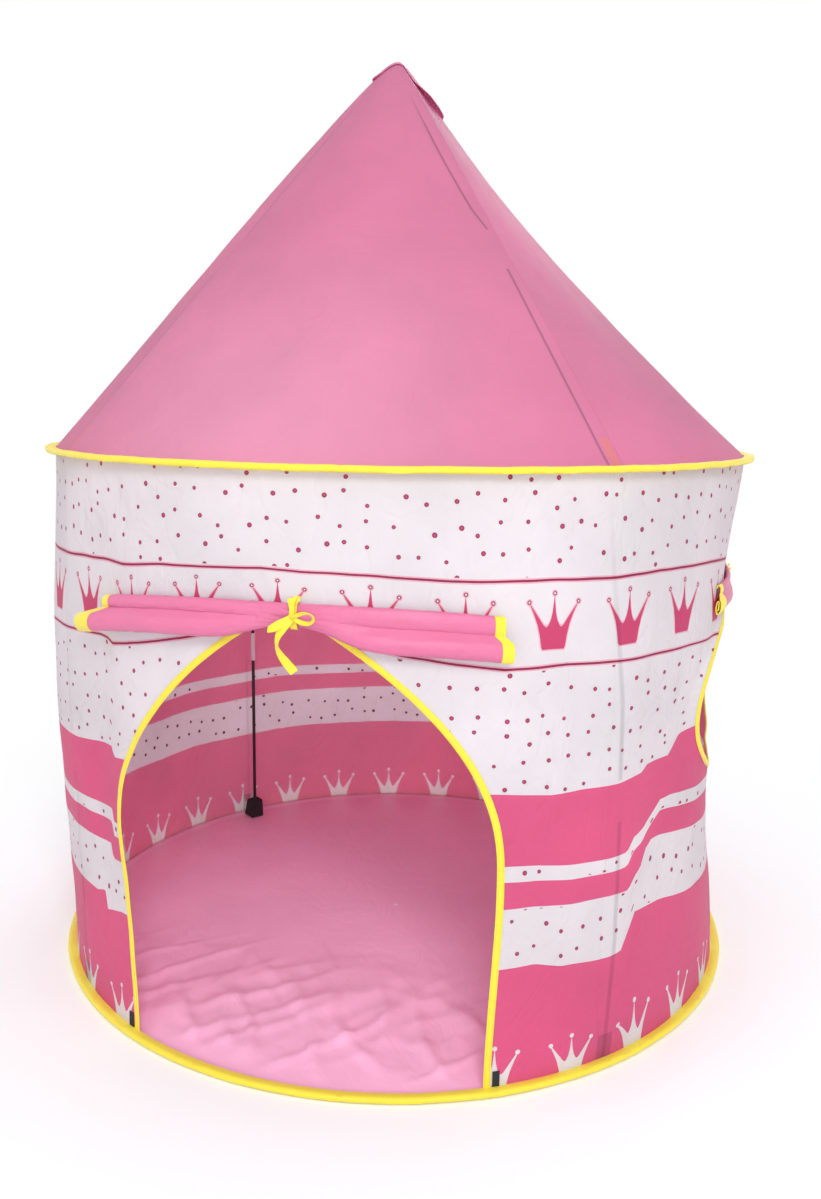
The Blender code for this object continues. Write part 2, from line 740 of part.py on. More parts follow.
def curtain_columns(roll, first, last):
    """Columns from one end to the other, on all facets of the wall between them."""
    inside = {roll.knot - PINCH_FLAT, roll.knot + PINCH_FLAT}
    spacing = 360 / RING_STEPS
    clear = spacing / 8
    near = max(first(0), first(ROLL_STEPS)) + clear
    far = min(last(0), last(ROLL_STEPS)) - clear
    step = math.ceil((near - FRONT_POLE) / spacing)
    while FRONT_POLE + step * spacing < far:
        inside.add(FRONT_POLE + step * spacing)
        step += 1
    return [first, *sorted(inside), last]


def rolled_curtain(name, roll):
    """Curtain without tape on its ends."""
    columns = curtain_columns(
        roll, lambda row: roll.limit(0, row), lambda row: roll.limit(1, row))
    rolled_cloth(name, roll, columns, ROOF_CLOTH)


def bound_curtain(name, roll):
    """Curtain with a piece of tape round each end."""
    seam = math.degrees(3 * GAP / WALL_RADIUS)

    def edge(side, share, clear):
        inwards = 1 - 2 * side
        return lambda row: roll.limit(side, row) + inwards * (
            roll.tape(side, row) * share + seam * clear)

    rolled_cloth(name, roll, curtain_columns(roll, edge(0, 1, 1), edge(1, 1, 1)), ROOF_CLOTH)
    rolled_cloth(name + "_edging_left", roll, [edge(0, 0, 0), edge(0, 1, 0)], YELLOW_TAPE)
    rolled_cloth(name + "_edging_right", roll, [edge(1, 1, 0), edge(1, 0, 0)], YELLOW_TAPE)


def strip(name, course, sideways):
    """Ribbon along a course of points, its width set by the direction `sideways` gives."""
    half = RIBBON_WIDTH / 2

    def place(column, row):
        return course[column] + sideways[column] * (half if row else -half)

    return sheet(name, len(course) - 1, 1, place, YELLOW_TAPE, thickness=RIBBON, offset=0)


def tie_band(name, roll):
    """Ribbon sewn to the wall over the roll, drawn round the roll and back to the wall."""
    deep, tall = roll.halves(roll.knot)
    middle = roll.top_height(roll.knot) - tall
    around = GAP + RIBBON
    near = GAP + RIBBON / 2 + (EDGE_THICKNESS - CLOTH) / 2
    course = [(GAP + RIBBON / 2, middle + tall + TIE_SEAM)]
    for step in range(TIE_STEPS):
        angle = math.radians(105 - 285 * step / (TIE_STEPS - 1))
        out = ROLL_STANDOFF + deep + (deep + around) * math.cos(angle)
        course.append((max(out, near), middle + (tall + around) * math.sin(angle)))
    course.append((near, middle + TIE_SEAM))
    points = [on_wall(roll.knot, height, out) for out, height in course]
    return strip(name, points, [tangent(roll.knot)] * len(points))


def tie_knot(name, roll):
    """The knot on the front of the band, a small pillow of ribbon."""
    deep, tall = roll.halves(roll.knot)
    front = ROLL_STANDOFF + 2 * deep + GAP + RIBBON + KNOT_SIZE[1] / 3
    height = roll.top_height(roll.knot) - tall
    shape = bmesh.new()
    bmesh.ops.create_cube(shape, size=1)
    bmesh.ops.scale(shape, verts=shape.verts, vec=(KNOT_SIZE[0], KNOT_SIZE[2], KNOT_SIZE[1]))
    bmesh.ops.bevel(shape, geom=shape.edges[:], offset=min(KNOT_SIZE) / 3, segments=1,
                    affect="EDGES")
    thing = mesh_object(name, shape)
    thing.matrix_world = facing(roll.knot, wall_radius(roll.knot, height) + front, height)
    return finish(thing, YELLOW_TAPE), thing.matrix_world.copy()


def bow(band, frame):
    """One loop and two tails of the bow, joined to the band through the knot."""
    inwards = Vector((0, 0, 1))
    loop, short, long_tail = [], [], []
    for step in range(8):
        angle = math.pi * (1 - step / 4)
        across = LOOP_LENGTH / 2 * (1 + math.cos(angle))
        loop.append(frame @ Vector((across, LOOP_TALL / 2 * math.sin(angle), 0)))
    for step in range(5):
        share = step / 4
        short.append(Vector((-SHORT_TAIL * share, -SHORT_TAIL_DROP * share**2, 0)))
    for step in range(8):
        share = step / 7
        across = -LONG_TAIL_OUT * math.sin(math.pi * share**0.8)
        long_tail.append(Vector((across, -LONG_TAIL_DROP * share, 0)))
    turn = frame.to_3x3()
    for name, course, layer in (("short_tail", short, -1), ("long_tail", long_tail, 1)):
        sides = []
        for step in range(len(course)):
            run = course[min(step + 1, len(course) - 1)] - course[max(step - 1, 0)]
            sides.append(turn @ Vector((-run.y, run.x, 0)).normalized())
        shift = inwards * layer * 1.5 * RIBBON
        combine(band, strip(name, [frame @ (point + shift) for point in course], sides), "UNION")
    combine(band, strip("bow_loop", loop, [turn @ inwards] * len(loop)), "UNION")


def door_tie(roll):
    """Ribbon round the rolled curtain, tied in a bow at the front."""
    band = tie_band("door_tie", roll)
    knot, frame = tie_knot("door_tie_knot", roll)
    combine(band, knot, "UNION")
    bow(band, frame)


# Poles


def pole_points(azimuth):
    """Foot, elbow corner and hub point of one pole, all on the rods' own axis."""
    foot = at(azimuth, POLE_CIRCLE, CLOTH + GAP + POCKET_FLOOR + GAP)
    corner = at(azimuth, POLE_CIRCLE, ELBOW_HEIGHT)
    hub = lean(HUB_HEIGHT) + at(azimuth, HUB_REACH, HUB_HEIGHT)
    return foot, corner, hub


def sleeve(name, start, end):
    """White sleeve with a blind bore from each end, stopped at its middle."""
    run = (end - start).normalized()
    depth = (SLEEVE_LENGTH - SLEEVE_STOP) / 2
    thing = rod(name, start, end, SLEEVE_DIAMETER, WHITE_PLASTIC)
    bore(name + "_bore_1", start, run, depth, thing)
    bore(name + "_bore_2", end, -run, depth, thing)


def elbow(name, corner, down, up):
    """Bent sleeve between the wall pole and the roof pole, with a bore in each arm."""
    course = [corner + down * ELBOW_ARM]
    for step in range(4):
        share = step / 3
        start, end = corner + down * ELBOW_BEND, corner + up * ELBOW_BEND
        first, second = start.lerp(corner, share), corner.lerp(end, share)
        course.append(first.lerp(second, share))
    course.append(corner + up * ELBOW_ARM)
    thing = curve_to_mesh(wire(name, course, SLEEVE_DIAMETER, WHITE_PLASTIC, 2))
    bore(name + "_bore_1", corner + down * ELBOW_ARM, -down, ELBOW_BORE, thing)
    bore(name + "_bore_2", corner + up * ELBOW_ARM, -up, ELBOW_BORE, thing)


def apex_hub(hub_points, runs):
    """Four sleeves that meet in a round boss under the roof's tip."""
    middle = lean(HUB_HEIGHT) + Vector((0, 0, HUB_HEIGHT))
    half = Vector((0, 0, HUB_BOSS_LENGTH / 2))
    hub = rod("apex_hub", middle - half, middle + half, HUB_BOSS_DIAMETER, WHITE_PLASTIC, 16)
    for name, point, run in zip(POLE_NAMES, hub_points, runs):
        inside = point + run * HUB_ARM_INSIDE
        mouth = point - run * HUB_ARM_LENGTH
        arm = rod("arm_" + name, mouth, inside, SLEEVE_DIAMETER, WHITE_PLASTIC)
        combine(hub, arm, "UNION")
    for name, point, run in zip(POLE_NAMES, hub_points, runs):
        bore("hub_bore_" + name, point - run * HUB_ARM_LENGTH, run, HUB_BORE, hub)


def foot_pocket(name, azimuth, foot):
    """Webbing pocket on the floor that takes the rod's end, its back sloped to the seam."""
    bottom = CLOTH + GAP
    front = -POCKET_FRONT
    back = POCKET_FRONT
    seam = WALL_RADIUS - FLOOR_HEM - POLE_CIRCLE
    lip = POCKET_FLOOR
    profile = (
        (front, bottom), (seam, bottom), (seam, bottom + lip), (back, POCKET_HEIGHT),
        (front, POCKET_HEIGHT))
    turn = Matrix((outward(azimuth), Vector((0, 0, 1)), tangent(azimuth))).transposed()
    place = Matrix.Translation(at(azimuth, POLE_CIRCLE, 0)) @ turn.to_4x4()
    thing = plate(name, [profile], POCKET_WIDTH, place, BLACK_WEB)
    soft = thing.modifiers.new("soft_edges", "BEVEL")
    soft.width = POCKET_BEVEL
    soft.segments = 1
    soft.limit_method = "ANGLE"
    bore(name + "_bore", at(azimuth, POLE_CIRCLE, POCKET_HEIGHT), Vector((0, 0, -1)),
         POCKET_HEIGHT - foot.z + GAP, thing)


def pole_tie(name, azimuth):
    """Tape looped round the elbow's lower arm and sewn into the ring's seam."""
    hole = SLEEVE_DIAMETER / 2 + GAP
    around = hole + TIE_WALL
    end = WALL_RADIUS - CLOTH - GAP - POLE_CIRCLE
    opening = math.asin(TIE_WALL / around)
    outline = [(TIE_WALL, end), (-TIE_WALL, end)]
    steps = 12
    for step in range(steps + 1):
        angle = math.pi / 2 + opening + (2 * math.pi - 2 * opening) * step / steps
        outline.append((around * math.cos(angle), around * math.sin(angle)))
    inside = [(hole / math.cos(math.pi / steps) * math.cos(2 * math.pi * step / steps),
               hole / math.cos(math.pi / steps) * math.sin(2 * math.pi * step / steps))
              for step in range(steps)]
    turn = Matrix((tangent(azimuth), outward(azimuth), Vector((0, 0, -1)))).transposed()
    place = Matrix.Translation(at(azimuth, POLE_CIRCLE, ELBOW_HEIGHT - TIE_DROP)) @ turn.to_4x4()
    plate(name, [outline, inside], TIE_HEIGHT, place, YELLOW_TAPE)


def pole(name, azimuth):
    """Two rods and a sleeve up the wall, an elbow, and two rods and a sleeve up the roof."""
    foot, corner, hub = pole_points(azimuth)
    rise, run = Vector((0, 0, 1)), (hub - corner).normalized()
    insert = (SLEEVE_LENGTH - SLEEVE_STOP) / 2 - GAP
    elbow_grip = ELBOW_ARM - ELBOW_BORE + GAP
    wall_sleeve = at(azimuth, POLE_CIRCLE, 0).lerp(corner, WALL_SLEEVE_SHARE)
    roof_sleeve = corner.lerp(hub, ROOF_SLEEVE_SHARE)
    for part, low, direction, low_end, high_end in (
        ("wall", wall_sleeve, rise, foot, corner - rise * elbow_grip),
        ("roof", roof_sleeve, run, corner + run * elbow_grip,
         hub - run * (HUB_ARM_LENGTH - HUB_BORE + GAP)),
    ):
        high = low + direction * SLEEVE_LENGTH
        rod(f"{part}_pole_lower_{name}", low_end, low + direction * insert, ROD_DIAMETER,
            BLACK_ROD)
        sleeve(f"{part}_pole_sleeve_{name}", low, high)
        rod(f"{part}_pole_upper_{name}", high - direction * insert, high_end, ROD_DIAMETER,
            BLACK_ROD)
    elbow("elbow_" + name, corner, -rise, run)
    foot_pocket("foot_pocket_" + name, azimuth, foot)
    pole_tie("pole_tie_" + name, azimuth)
    return hub, run


def build():
    for name, middle in (("bottom_ring", FLOOR_SEAM), ("top_ring", RING_HEIGHT)):
        ring_binding(name + "_binding", middle)
        ring_hoop(name + "_hoop", middle)
    floor_sheet()
    sides = (
        ("front", -FRONT_POLE, FRONT_POLE), ("right", FRONT_POLE, BACK_POLE),
        ("back", BACK_POLE, 360 - BACK_POLE), ("left", -BACK_POLE, -FRONT_POLE))
    panels = {}
    for side, first, last in sides:
        panels[side] = wall_panel("wall_" + side, first, last)
        roof_gore("roof_" + side, first, last)
    apex_cap()
    cut_opening(panels["front"], "door_opening", DOOR_AZIMUTH, door_outline())
    edge_band("door_binding", DOOR_AZIMUTH, door_outline(), closed=False)
    cut_opening(panels["right"], "window_opening", WINDOW_AZIMUTH, window_outline())
    edge_band("window_binding", WINDOW_AZIMUTH, window_outline(), closed=True)
    door_tab("door_tab_left", -1)
    door_tab("door_tab_right", 1)
    door_roll = Roll(
        (DOOR_ROLL_LEFT, DOOR_ROLL_RIGHT), (DOOR_FOLD_LEFT, DOOR_FOLD_RIGHT), DOOR_KNOT,
        DOOR_RAISED, DOOR_ROLL_TOP, (DOOR_DROOP_LEFT, DOOR_DROOP_RIGHT), DOOR_ROLL_TALL,
        DOOR_ROLL_DEPTH)
    bound_curtain("door_curtain", door_roll)
    door_tie(door_roll)
    window_roll = Roll(
        (WINDOW_ROLL_LEFT, WINDOW_ROLL_RIGHT), (WINDOW_FOLD_LEFT, WINDOW_FOLD_RIGHT),
        WINDOW_KNOT, WINDOW_RAISED, WINDOW_ROLL_TOP, (WINDOW_DROOP, WINDOW_DROOP), WINDOW_ROLL_TALL,
        WINDOW_ROLL_DEPTH)
    rolled_curtain("window_curtain", window_roll)
    ends = [pole(name, azimuth) for name, azimuth in zip(POLE_NAMES, POLE_AZIMUTHS)]
    apex_hub([point for point, _ in ends], [run for _, run in ends])


build()
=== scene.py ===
"""Looks of a child's pop-up play tent: printed cloth walls, a pink cone roof, yellow tape
bindings, rolled curtains tied with ribbon, and the black poles with their white sleeves."""

import math

import bpy
from mathutils import Matrix, Vector, noise


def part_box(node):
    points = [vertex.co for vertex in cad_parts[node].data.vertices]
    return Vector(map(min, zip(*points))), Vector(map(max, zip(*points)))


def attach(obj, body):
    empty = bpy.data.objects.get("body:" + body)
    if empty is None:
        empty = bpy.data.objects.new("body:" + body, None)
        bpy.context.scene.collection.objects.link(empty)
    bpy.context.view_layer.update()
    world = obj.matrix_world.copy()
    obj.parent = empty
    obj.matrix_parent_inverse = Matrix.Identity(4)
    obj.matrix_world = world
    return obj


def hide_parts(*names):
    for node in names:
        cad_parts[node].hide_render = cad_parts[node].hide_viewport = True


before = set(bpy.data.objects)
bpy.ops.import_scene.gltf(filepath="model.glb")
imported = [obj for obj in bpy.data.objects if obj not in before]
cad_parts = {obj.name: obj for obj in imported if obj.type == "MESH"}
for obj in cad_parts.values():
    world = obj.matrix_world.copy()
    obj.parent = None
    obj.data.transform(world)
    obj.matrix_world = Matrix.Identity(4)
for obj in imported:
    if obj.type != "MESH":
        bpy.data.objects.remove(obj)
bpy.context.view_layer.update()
bpy.ops.object.select_all(action="DESELECT")

# Sizes of the tent, in metres, and azimuths in degrees from the door's middle towards +X
RING_RADIUS = 0.525
RING_HEIGHT = 0.763
BOTTOM_RING_HEIGHT = 0.0046
WALL_RADIUS = 0.511
APEX_HEIGHT = 1.319
APEX_LEAN = 0.012
LEAN_AZIMUTH = -75.5
TIP_ROUNDING = 0.012
ROOF_SPREAD = WALL_RADIUS / math.sqrt(
    (APEX_HEIGHT - RING_HEIGHT + TIP_ROUNDING) ** 2 - TIP_ROUNDING**2)
CLOTH = 0.0008
FRONT_POLE = 45
BACK_POLE = 129
POLES = {"front_right": FRONT_POLE, "back_right": BACK_POLE, "back_left": -BACK_POLE,
         "front_left": -FRONT_POLE}
POLE_CIRCLE = 0.484
ELBOW_HEIGHT = 0.752
HUB_REACH = 0.026
HUB_HALF_HEIGHT = 0.011
HUB_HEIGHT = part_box("apex_hub")[1].z - HUB_HALF_HEIGHT
ROD = 0.006
ROD_PLAY = 0.0006
SLEEVE = 0.009
SLEEVE_LENGTH = 0.055
SLEEVE_SEAT = 0.026
ELBOW_BEND = 0.014
ELBOW_STRAIGHT = 0.020
ELBOW_ARM = 0.034
ELBOW_SEAT = 0.0105
HUB_SEAT = 0.0085
HUB_DIAMETER = 0.036
HUB_ARM = 0.034
HUB_ARM_ROOT = 0.012
DRILL_OVERRUN = 0.005
WALL_SLEEVE_SHARE = 0.4335
ROOF_SLEEVE_SHARE = 0.4639
SIDES = {
    "front": (-FRONT_POLE, FRONT_POLE),
    "right": (FRONT_POLE, BACK_POLE),
    "back": (BACK_POLE, 360 - BACK_POLE),
    "left": (360 - BACK_POLE, 360 - FRONT_POLE),
}
EDGE_BAND = 0.008
FOLD_END_BAND = 0.012
# Distance between neighbouring points of the modelled cloth
GRAIN = 0.006
WINDOW_AZIMUTH = 87
WINDOW_HALF_WIDTH = 0.203
WINDOW_TOP_HEIGHT = 0.596
WINDOW_WIDE_HEIGHT = 0.430
WINDOW_BOTTOM_HEIGHT = 0.325
WINDOW_LIP = 0.007
DOOR_HALF_WIDTH = 0.249
DOOR_FOOT_HALF_WIDTH = 0.240
DOOR_SPRING_HEIGHT = 0.280
DOOR_TOP_HEIGHT = 0.610
DOOR_FOOT = 0.0065
ARCH_CURVE = 2.2
ARCH_POINT = 0.9
# The door's left edge stands out by this share most, at this height, over this reach
DOOR_BULGE = 0.066
BULGE_HEIGHT = 0.31
BULGE_REACH = 0.11

# The walls' folds: azimuth and reach in degrees, height and reach in shares, depth in metres
WALL_FOLDS = (
    (90, 15, 0.33, 0.31, 0.027),
    (93, 17, 0.82, 0.24, 0.028),
    (57, 6, 0.38, 0.22, 0.0126),
    (-36, 5, 0.40, 0.32, 0.009),
    (-52, 12, 0.64, 0.42, -0.014),
    (-78, 16, 0.50, 0.30, -0.0054),
    (-105, 10, 0.35, 0.25, 0.009),
    (165, 14, 0.40, 0.30, 0.0108),
    (-159, 12, 0.55, 0.30, 0.0072),
)
ROOF_SAG = 0.033
# Share of the sag in each gore, and how much of it lies near the tip
GORE_SAGS = {"front": (0.3, 1.0), "right": (1.0, 1.35), "back": (0.5, 1.0), "left": (-0.4, 1.8)}


def linear(hexcode):
    """Colour of a dye from its screen value."""
    parts = [int(hexcode[spot:spot + 2], 16) / 255 for spot in (1, 3, 5)]
    return tuple(
        part / 12.92 if part <= 0.04045 else ((part + 0.055) / 1.055) ** 2.4
        for part in parts) + (1,)


def round_wall(azimuth):
    """Metres round the wall over this many degrees."""
    return math.radians(azimuth) * WALL_RADIUS


ROOF_PINK = linear("#E99ABF")
# Painted light: the paler pink where the front of the roof is lit through
ROOF_PAINTED_LIGHT = linear("#F8C6DC")
CURTAIN_PINK = linear("#DE769F")
FLOOR_PINK = linear("#FBBCDC")
BAND_PINK = linear("#EB709F")
CROWN_PINK = linear("#DC5A88")
PRINT_WHITE = linear("#F0F4F5")
PRINT_LINE = linear("#A83A62")
PRINT_HALO = linear("#F3CBD8")
# Painted light: the paler, pinker tone of the walls' inner face
INNER_PAINTED_LIGHT = linear("#FAE1EB")
INNER_DOT = linear("#5E2A40")
TAPE_YELLOW = linear("#EDD733")
WEB_BLACK = linear("#1C1B1E")
ROD_BLACK = linear("#17171A")
ROD_SCUFF = linear("#3A393D")
SLEEVE_WHITE = linear("#ECECEA")
SLEEVE_CLOUD = linear("#D6D4CC")
WIRE_DULL = linear("#8A8C90")
WIRE_BRIGHT = linear("#B4B6BA")
# Painted light of the yellow pole ties and painted shade of the black foot pockets, as seen
# through the cloth
TIE_LIGHT_THROUGH = linear("#EFA184")
POCKET_SHADE = linear("#5A2A3C")

# Painted shade where a pole shows through the cloth: where its line's edge begins and ends, the
# heights that its sleeve hides, the heights that it fades between, its strength and its colour
ROOF_POLE_SHADE = ((0.0010, 0.0026), (1.004, 1.058), (1.20, 1.27), 0.34, linear("#5A2038"))
WALL_POLE_SHADE = ((0.0012, 0.0052), (0.326, 0.381), (0.46, 0.74), 0.20, linear("#6A5A66"))

# The print, in metres up and along the flat cloth
LOW_BAND_TOP = 0.168
BANDS = ((0.244, 0.277), (0.296, 0.386))
DOTTED_ROWS = ((0.644, 0.8), (0.388, 0.544), (0.279, 0.294), (0.170, 0.242))
LINE_HEIGHTS = (0.640, 0.548)
DOT_CELL = 0.0300
DOT_RADIUS = 0.0023
DOT_SPREAD = 0.0008
CROWN_PITCH = round_wall(12)
CROWN_START = round_wall(10.9)
CROWN_FOOT = 0.566
CROWN_SIZE = (0.0325, 0.059)
LOW_CROWN_START = round_wall(4.5)
LOW_CROWN_FOOT = -0.004
LOW_CROWN_SIZE = (0.031, 0.063)
CROWN_RING_RADIUS = 0.0025
CROWN_RING_HOLE = 0.0012


# Making materials


class Nodes:
    """A node tree while its nodes are put together."""

    def __init__(self, tree):
        self.tree = tree

    def feed(self, socket, value):
        if isinstance(value, bpy.types.NodeSocket):
            self.tree.links.new(value, socket)
        else:
            socket.default_value = value

    def add(self, kind, settings, **inputs):
        node = self.tree.nodes.new(kind)
        for key, value in settings.items():
            setattr(node, key, value)
        for key, value in inputs.items():
            self.feed(node.inputs[key.replace("_", " ")], value)
        return node

    def math(self, operation, *values):
        node = self.add("ShaderNodeMath", {"operation": operation})
        for socket, value in zip(node.inputs, values):
            self.feed(socket, value)
        return node.outputs[0]

    def product(self, first, *others):
        for other in others:
            first = self.math("MULTIPLY", first, other)
        return first

    def any_of(self, first, *others):
        for other in others:
            first = self.math("MAXIMUM", first, other)
        return first

    def between(self, value, low, high):
        return self.product(self.math("GREATER_THAN", value, low),
                            self.math("LESS_THAN", value, high))

    def near(self, value, spot, reach):
        return self.math("COMPARE", value, spot, reach)

    def ramp(self, value, start, end, low=0.0, high=1.0, soft=False):
        """Level that goes from low to high while the value goes from start to end."""
        settings = {"interpolation_type": "SMOOTHSTEP" if soft else "LINEAR"}
        return self.add("ShaderNodeMapRange", settings, Value=value, From_Min=start,
                        From_Max=end, To_Min=low, To_Max=high).outputs[0]

    def mix(self, share, first, second, blend="MIX"):
        node = self.add("ShaderNodeMix", {"data_type": "RGBA", "blend_type": blend})
        self.feed(node.inputs[0], share)
        self.feed(node.inputs[6], first)
        self.feed(node.inputs[7], second)
        return node.outputs[2]

    def end_in(self, surface, share, first, second):
        """Ends the tree in two shaders, mixed by the share."""
        both = self.add("ShaderNodeMixShader", {})
        for socket, value in zip(both.inputs, (share, first, second)):
            self.feed(socket, value)
        self.feed(surface, both.outputs[0])


class Finish(Nodes):
    """One material while its nodes are put together."""

    def __init__(self, name, roughness, metallic=0.0):
        self.material = bpy.data.materials.new(name)
        self.material.use_nodes = True
        super().__init__(self.material.node_tree)
        self.shader = self.tree.nodes["Principled BSDF"]
        self.surface = self.tree.nodes["Material Output"].inputs["Surface"]
        self.shader.inputs["Roughness"].default_value = roughness
        self.shader.inputs["Metallic"].default_value = metallic

    def done(self, colour, normal):
        self.feed(self.shader.inputs["Base Color"], colour)
        self.feed(self.shader.inputs["Normal"], normal)
        return self.material

    def curve(self, value, points):
        """A straight-sided curve through (place, value) points, both from 0 to 1."""
        node = self.add("ShaderNodeValToRGB", {}, Fac=value)
        stops = node.color_ramp.elements
        while len(stops) < len(points):
            stops.new(0.5)
        for stop, (place, level) in zip(stops, points):
            stop.position = place
            stop.color = (level, level, level, 1)
        return node.outputs[0]

    def noise(self, where, scale, detail=3.0, distortion=0.0, stretch=None):
        if stretch:
            where = self.add("ShaderNodeMapping", {}, Vector=where, Scale=stretch).outputs[0]
        return self.add("ShaderNodeTexNoise", {}, Vector=where, Scale=scale, Detail=detail,
                        Distortion=distortion).outputs[0]

    def ribs(self, where, direction, scale, distortion):
        return self.add("ShaderNodeTexWave", {"bands_direction": direction}, Vector=where,
                        Scale=scale, Distortion=distortion, Detail=1.0).outputs[1]

    def bump(self, height, distance, strength, under=None):
        node = self.add("ShaderNodeBump", {}, Height=height, Distance=distance,
                        Strength=strength)
        if under is not None:
            self.feed(node.inputs["Normal"], under)
        return node.outputs[0]

    def place(self):
        return self.add("ShaderNodeTexCoord", {}).outputs["Object"]

    def noted(self, name, output):
        """What the cloth's points note under this name."""
        return self.add("ShaderNodeAttribute", {"attribute_name": name}).outputs[output]

    def split(self, vector):
        return self.add("ShaderNodeSeparateXYZ", {}, Vector=vector).outputs

    def along(self):
        """The cloth's own layout: metres along it and across it."""
        layout = self.add("ShaderNodeUVMap", {"uv_map": "layout"}).outputs[0]
        parts = self.split(layout)
        return layout, parts[0], parts[1]


def crown(finish, across, up, half, tall, halo=0.0):
    """Masks of a plain three-pointed crown and of the rings on its points, all of them larger
    by the halo."""
    aside = finish.math("ABSOLUTE", across)
    from_middle = finish.math("DIVIDE", aside, half)
    share_up = finish.math("DIVIDE", up, tall)
    top = finish.curve(from_middle, (
        (0.0, 1.0), (0.03, 0.84), (0.07, 0.66), (0.14, 0.52), (0.23, 0.43), (0.30, 0.40),
        (0.40, 0.44), (0.58, 0.57), (0.78, 0.71), (1.0, 0.86)))
    edge = finish.curve(share_up, (
        (0.0, 0.42), (0.04, 0.47), (0.25, 0.54), (0.45, 0.64), (0.65, 0.80), (0.86, 1.0)))
    under_top = finish.math("LESS_THAN", share_up, finish.math("ADD", top, 1.6 * halo / tall))
    inside = finish.math("LESS_THAN", from_middle, finish.math("ADD", edge, halo / half))
    body = finish.product(under_top, inside, finish.math("GREATER_THAN", up, -halo))

    def distance(middle, height):
        sideways = finish.math("SUBTRACT", aside, middle)
        upwards = finish.math("SUBTRACT", up, height)
        return finish.math("SQRT", finish.math("ADD", finish.product(sideways, sideways),
                                               finish.product(upwards, upwards)))

    tips = finish.math("MINIMUM", distance(0.0, tall * 1.01),
                       distance(half * 0.985, tall * 0.86))
    rings = finish.math("LESS_THAN", tips, CROWN_RING_RADIUS + halo)
    return body, rings, finish.math("LESS_THAN", tips, CROWN_RING_HOLE)


def wrapped(finish, value, pitch, start):
    """Distance from the middle of the nearest repeat."""
    turned = finish.math("SUBTRACT", value, start)
    share = finish.math("DIVIDE", turned, pitch)
    nearest = finish.math("ROUND", share)
    return finish.product(finish.math("SUBTRACT", share, nearest), pitch)


def wall_print(finish):
    """Bands, lines, dots and crowns printed on the wall, by the cloth's own layout, with painted
    light on the cloth's inner face.
    """
    layout, around, up = finish.along()

    def on_rows(rows):
        return [finish.between(up, low, high) for low, high in rows]

    def on_lines(reach):
        return [finish.near(up, height, reach) for height in LINE_HEIGHTS]

    pink = finish.any_of(finish.math("LESS_THAN", up, LOW_BAND_TOP), *on_rows(BANDS))
    spots = finish.add("ShaderNodeTexVoronoi", {"voronoi_dimensions": "2D"}, Vector=layout,
                       Scale=1 / DOT_CELL, Randomness=0.62)
    chance = finish.split(spots.outputs["Color"])[0]
    size = finish.math("MULTIPLY_ADD", chance, DOT_SPREAD / DOT_CELL, DOT_RADIUS / DOT_CELL)
    far = spots.outputs["Distance"]
    dots = finish.product(finish.any_of(*on_rows(DOTTED_ROWS)),
                          finish.math("LESS_THAN", far, size))
    hearts = finish.product(dots, finish.math("LESS_THAN", far, finish.product(size, 0.62)))
    across = wrapped(finish, around, CROWN_PITCH, CROWN_START)
    raised = finish.math("SUBTRACT", up, CROWN_FOOT)
    body, rings, holes = crown(finish, across, raised, *CROWN_SIZE)
    halo, ring_halo, _ = crown(finish, across, raised, *CROWN_SIZE, 0.0014)
    low_across = wrapped(finish, around, CROWN_PITCH, LOW_CROWN_START)
    low_raised = finish.math("SUBTRACT", up, LOW_CROWN_FOOT)
    low_body, low_rings, _ = crown(finish, low_across, low_raised, *LOW_CROWN_SIZE, 0.0008)
    colour = finish.mix(pink, PRINT_WHITE, BAND_PINK)
    colour = finish.mix(finish.any_of(low_body, low_rings), colour, PRINT_WHITE)
    colour = finish.mix(finish.any_of(halo, ring_halo, *on_lines(0.0030)), colour, PRINT_HALO)
    colour = finish.mix(finish.any_of(rings, *on_lines(0.0013), dots), colour, PRINT_LINE)
    colour = finish.mix(finish.any_of(body, hearts), colour, CROWN_PINK)
    colour = finish.mix(holes, colour, PRINT_WHITE)
    # Painted light: the inner face is made paler and pinker; its dots are darkened there
    inner = finish.noted("inner", "Fac")
    colour = finish.mix(finish.product(inner, 0.60), colour, INNER_PAINTED_LIGHT)
    return finish.mix(finish.product(dots, inner, 0.8), colour, INNER_DOT)


def pole_shade(finish, colour, on_roof):
    """Painted shade of the poles behind the cloth, where they show through it: a dark line, lost
    at the pale sleeve.
    """
    aside, plain, height = finish.split(finish.noted("by_pole", "Vector"))
    far = finish.math("ABSOLUTE", aside)
    widths, sleeve, fading, depth, shadow = ROOF_POLE_SHADE if on_roof else WALL_POLE_SHADE
    line = finish.product(
        finish.ramp(far, *widths, 1.0, 0.0, soft=True),
        finish.math("SUBTRACT", 1.0, finish.between(height, *sleeve)),
        finish.ramp(height, *fading, 1.0, 0.0), plain, depth)
    colour = finish.mix(line, colour, shadow, "MULTIPLY")
    if on_roof:
        # Painted light: the yellow tie round the elbow, seen through the roof
        tie = finish.product(finish.near(aside, 0.012, 0.0055),
                             finish.between(height, 0.766, 0.797), plain, 0.5)
        return finish.mix(tie, colour, TIE_LIGHT_THROUGH)
    # Painted shade: the black foot pocket, seen through the wall near the floor
    pocket = finish.product(finish.math("LESS_THAN", far, 0.012),
                            finish.math("LESS_THAN", height, 0.040), 0.22)
    return finish.mix(pocket, colour, POCKET_SHADE)


def roof_pink_and_painted_light(finish):
    """Roof dye, with painted light that makes it paler at the middle of the front gore's base,
    where the cloth is lit through.
    """
    _, around, down = finish.along()
    low = finish.ramp(down, 0.25, 0.72, soft=True)
    aside = finish.math("ABSOLUTE", finish.math("ADD", around, 0.06))
    middle = finish.ramp(aside, 0.40, 0.05, soft=True)
    return finish.mix(finish.product(low, middle, 0.5), ROOF_PINK, ROOF_PAINTED_LIGHT)


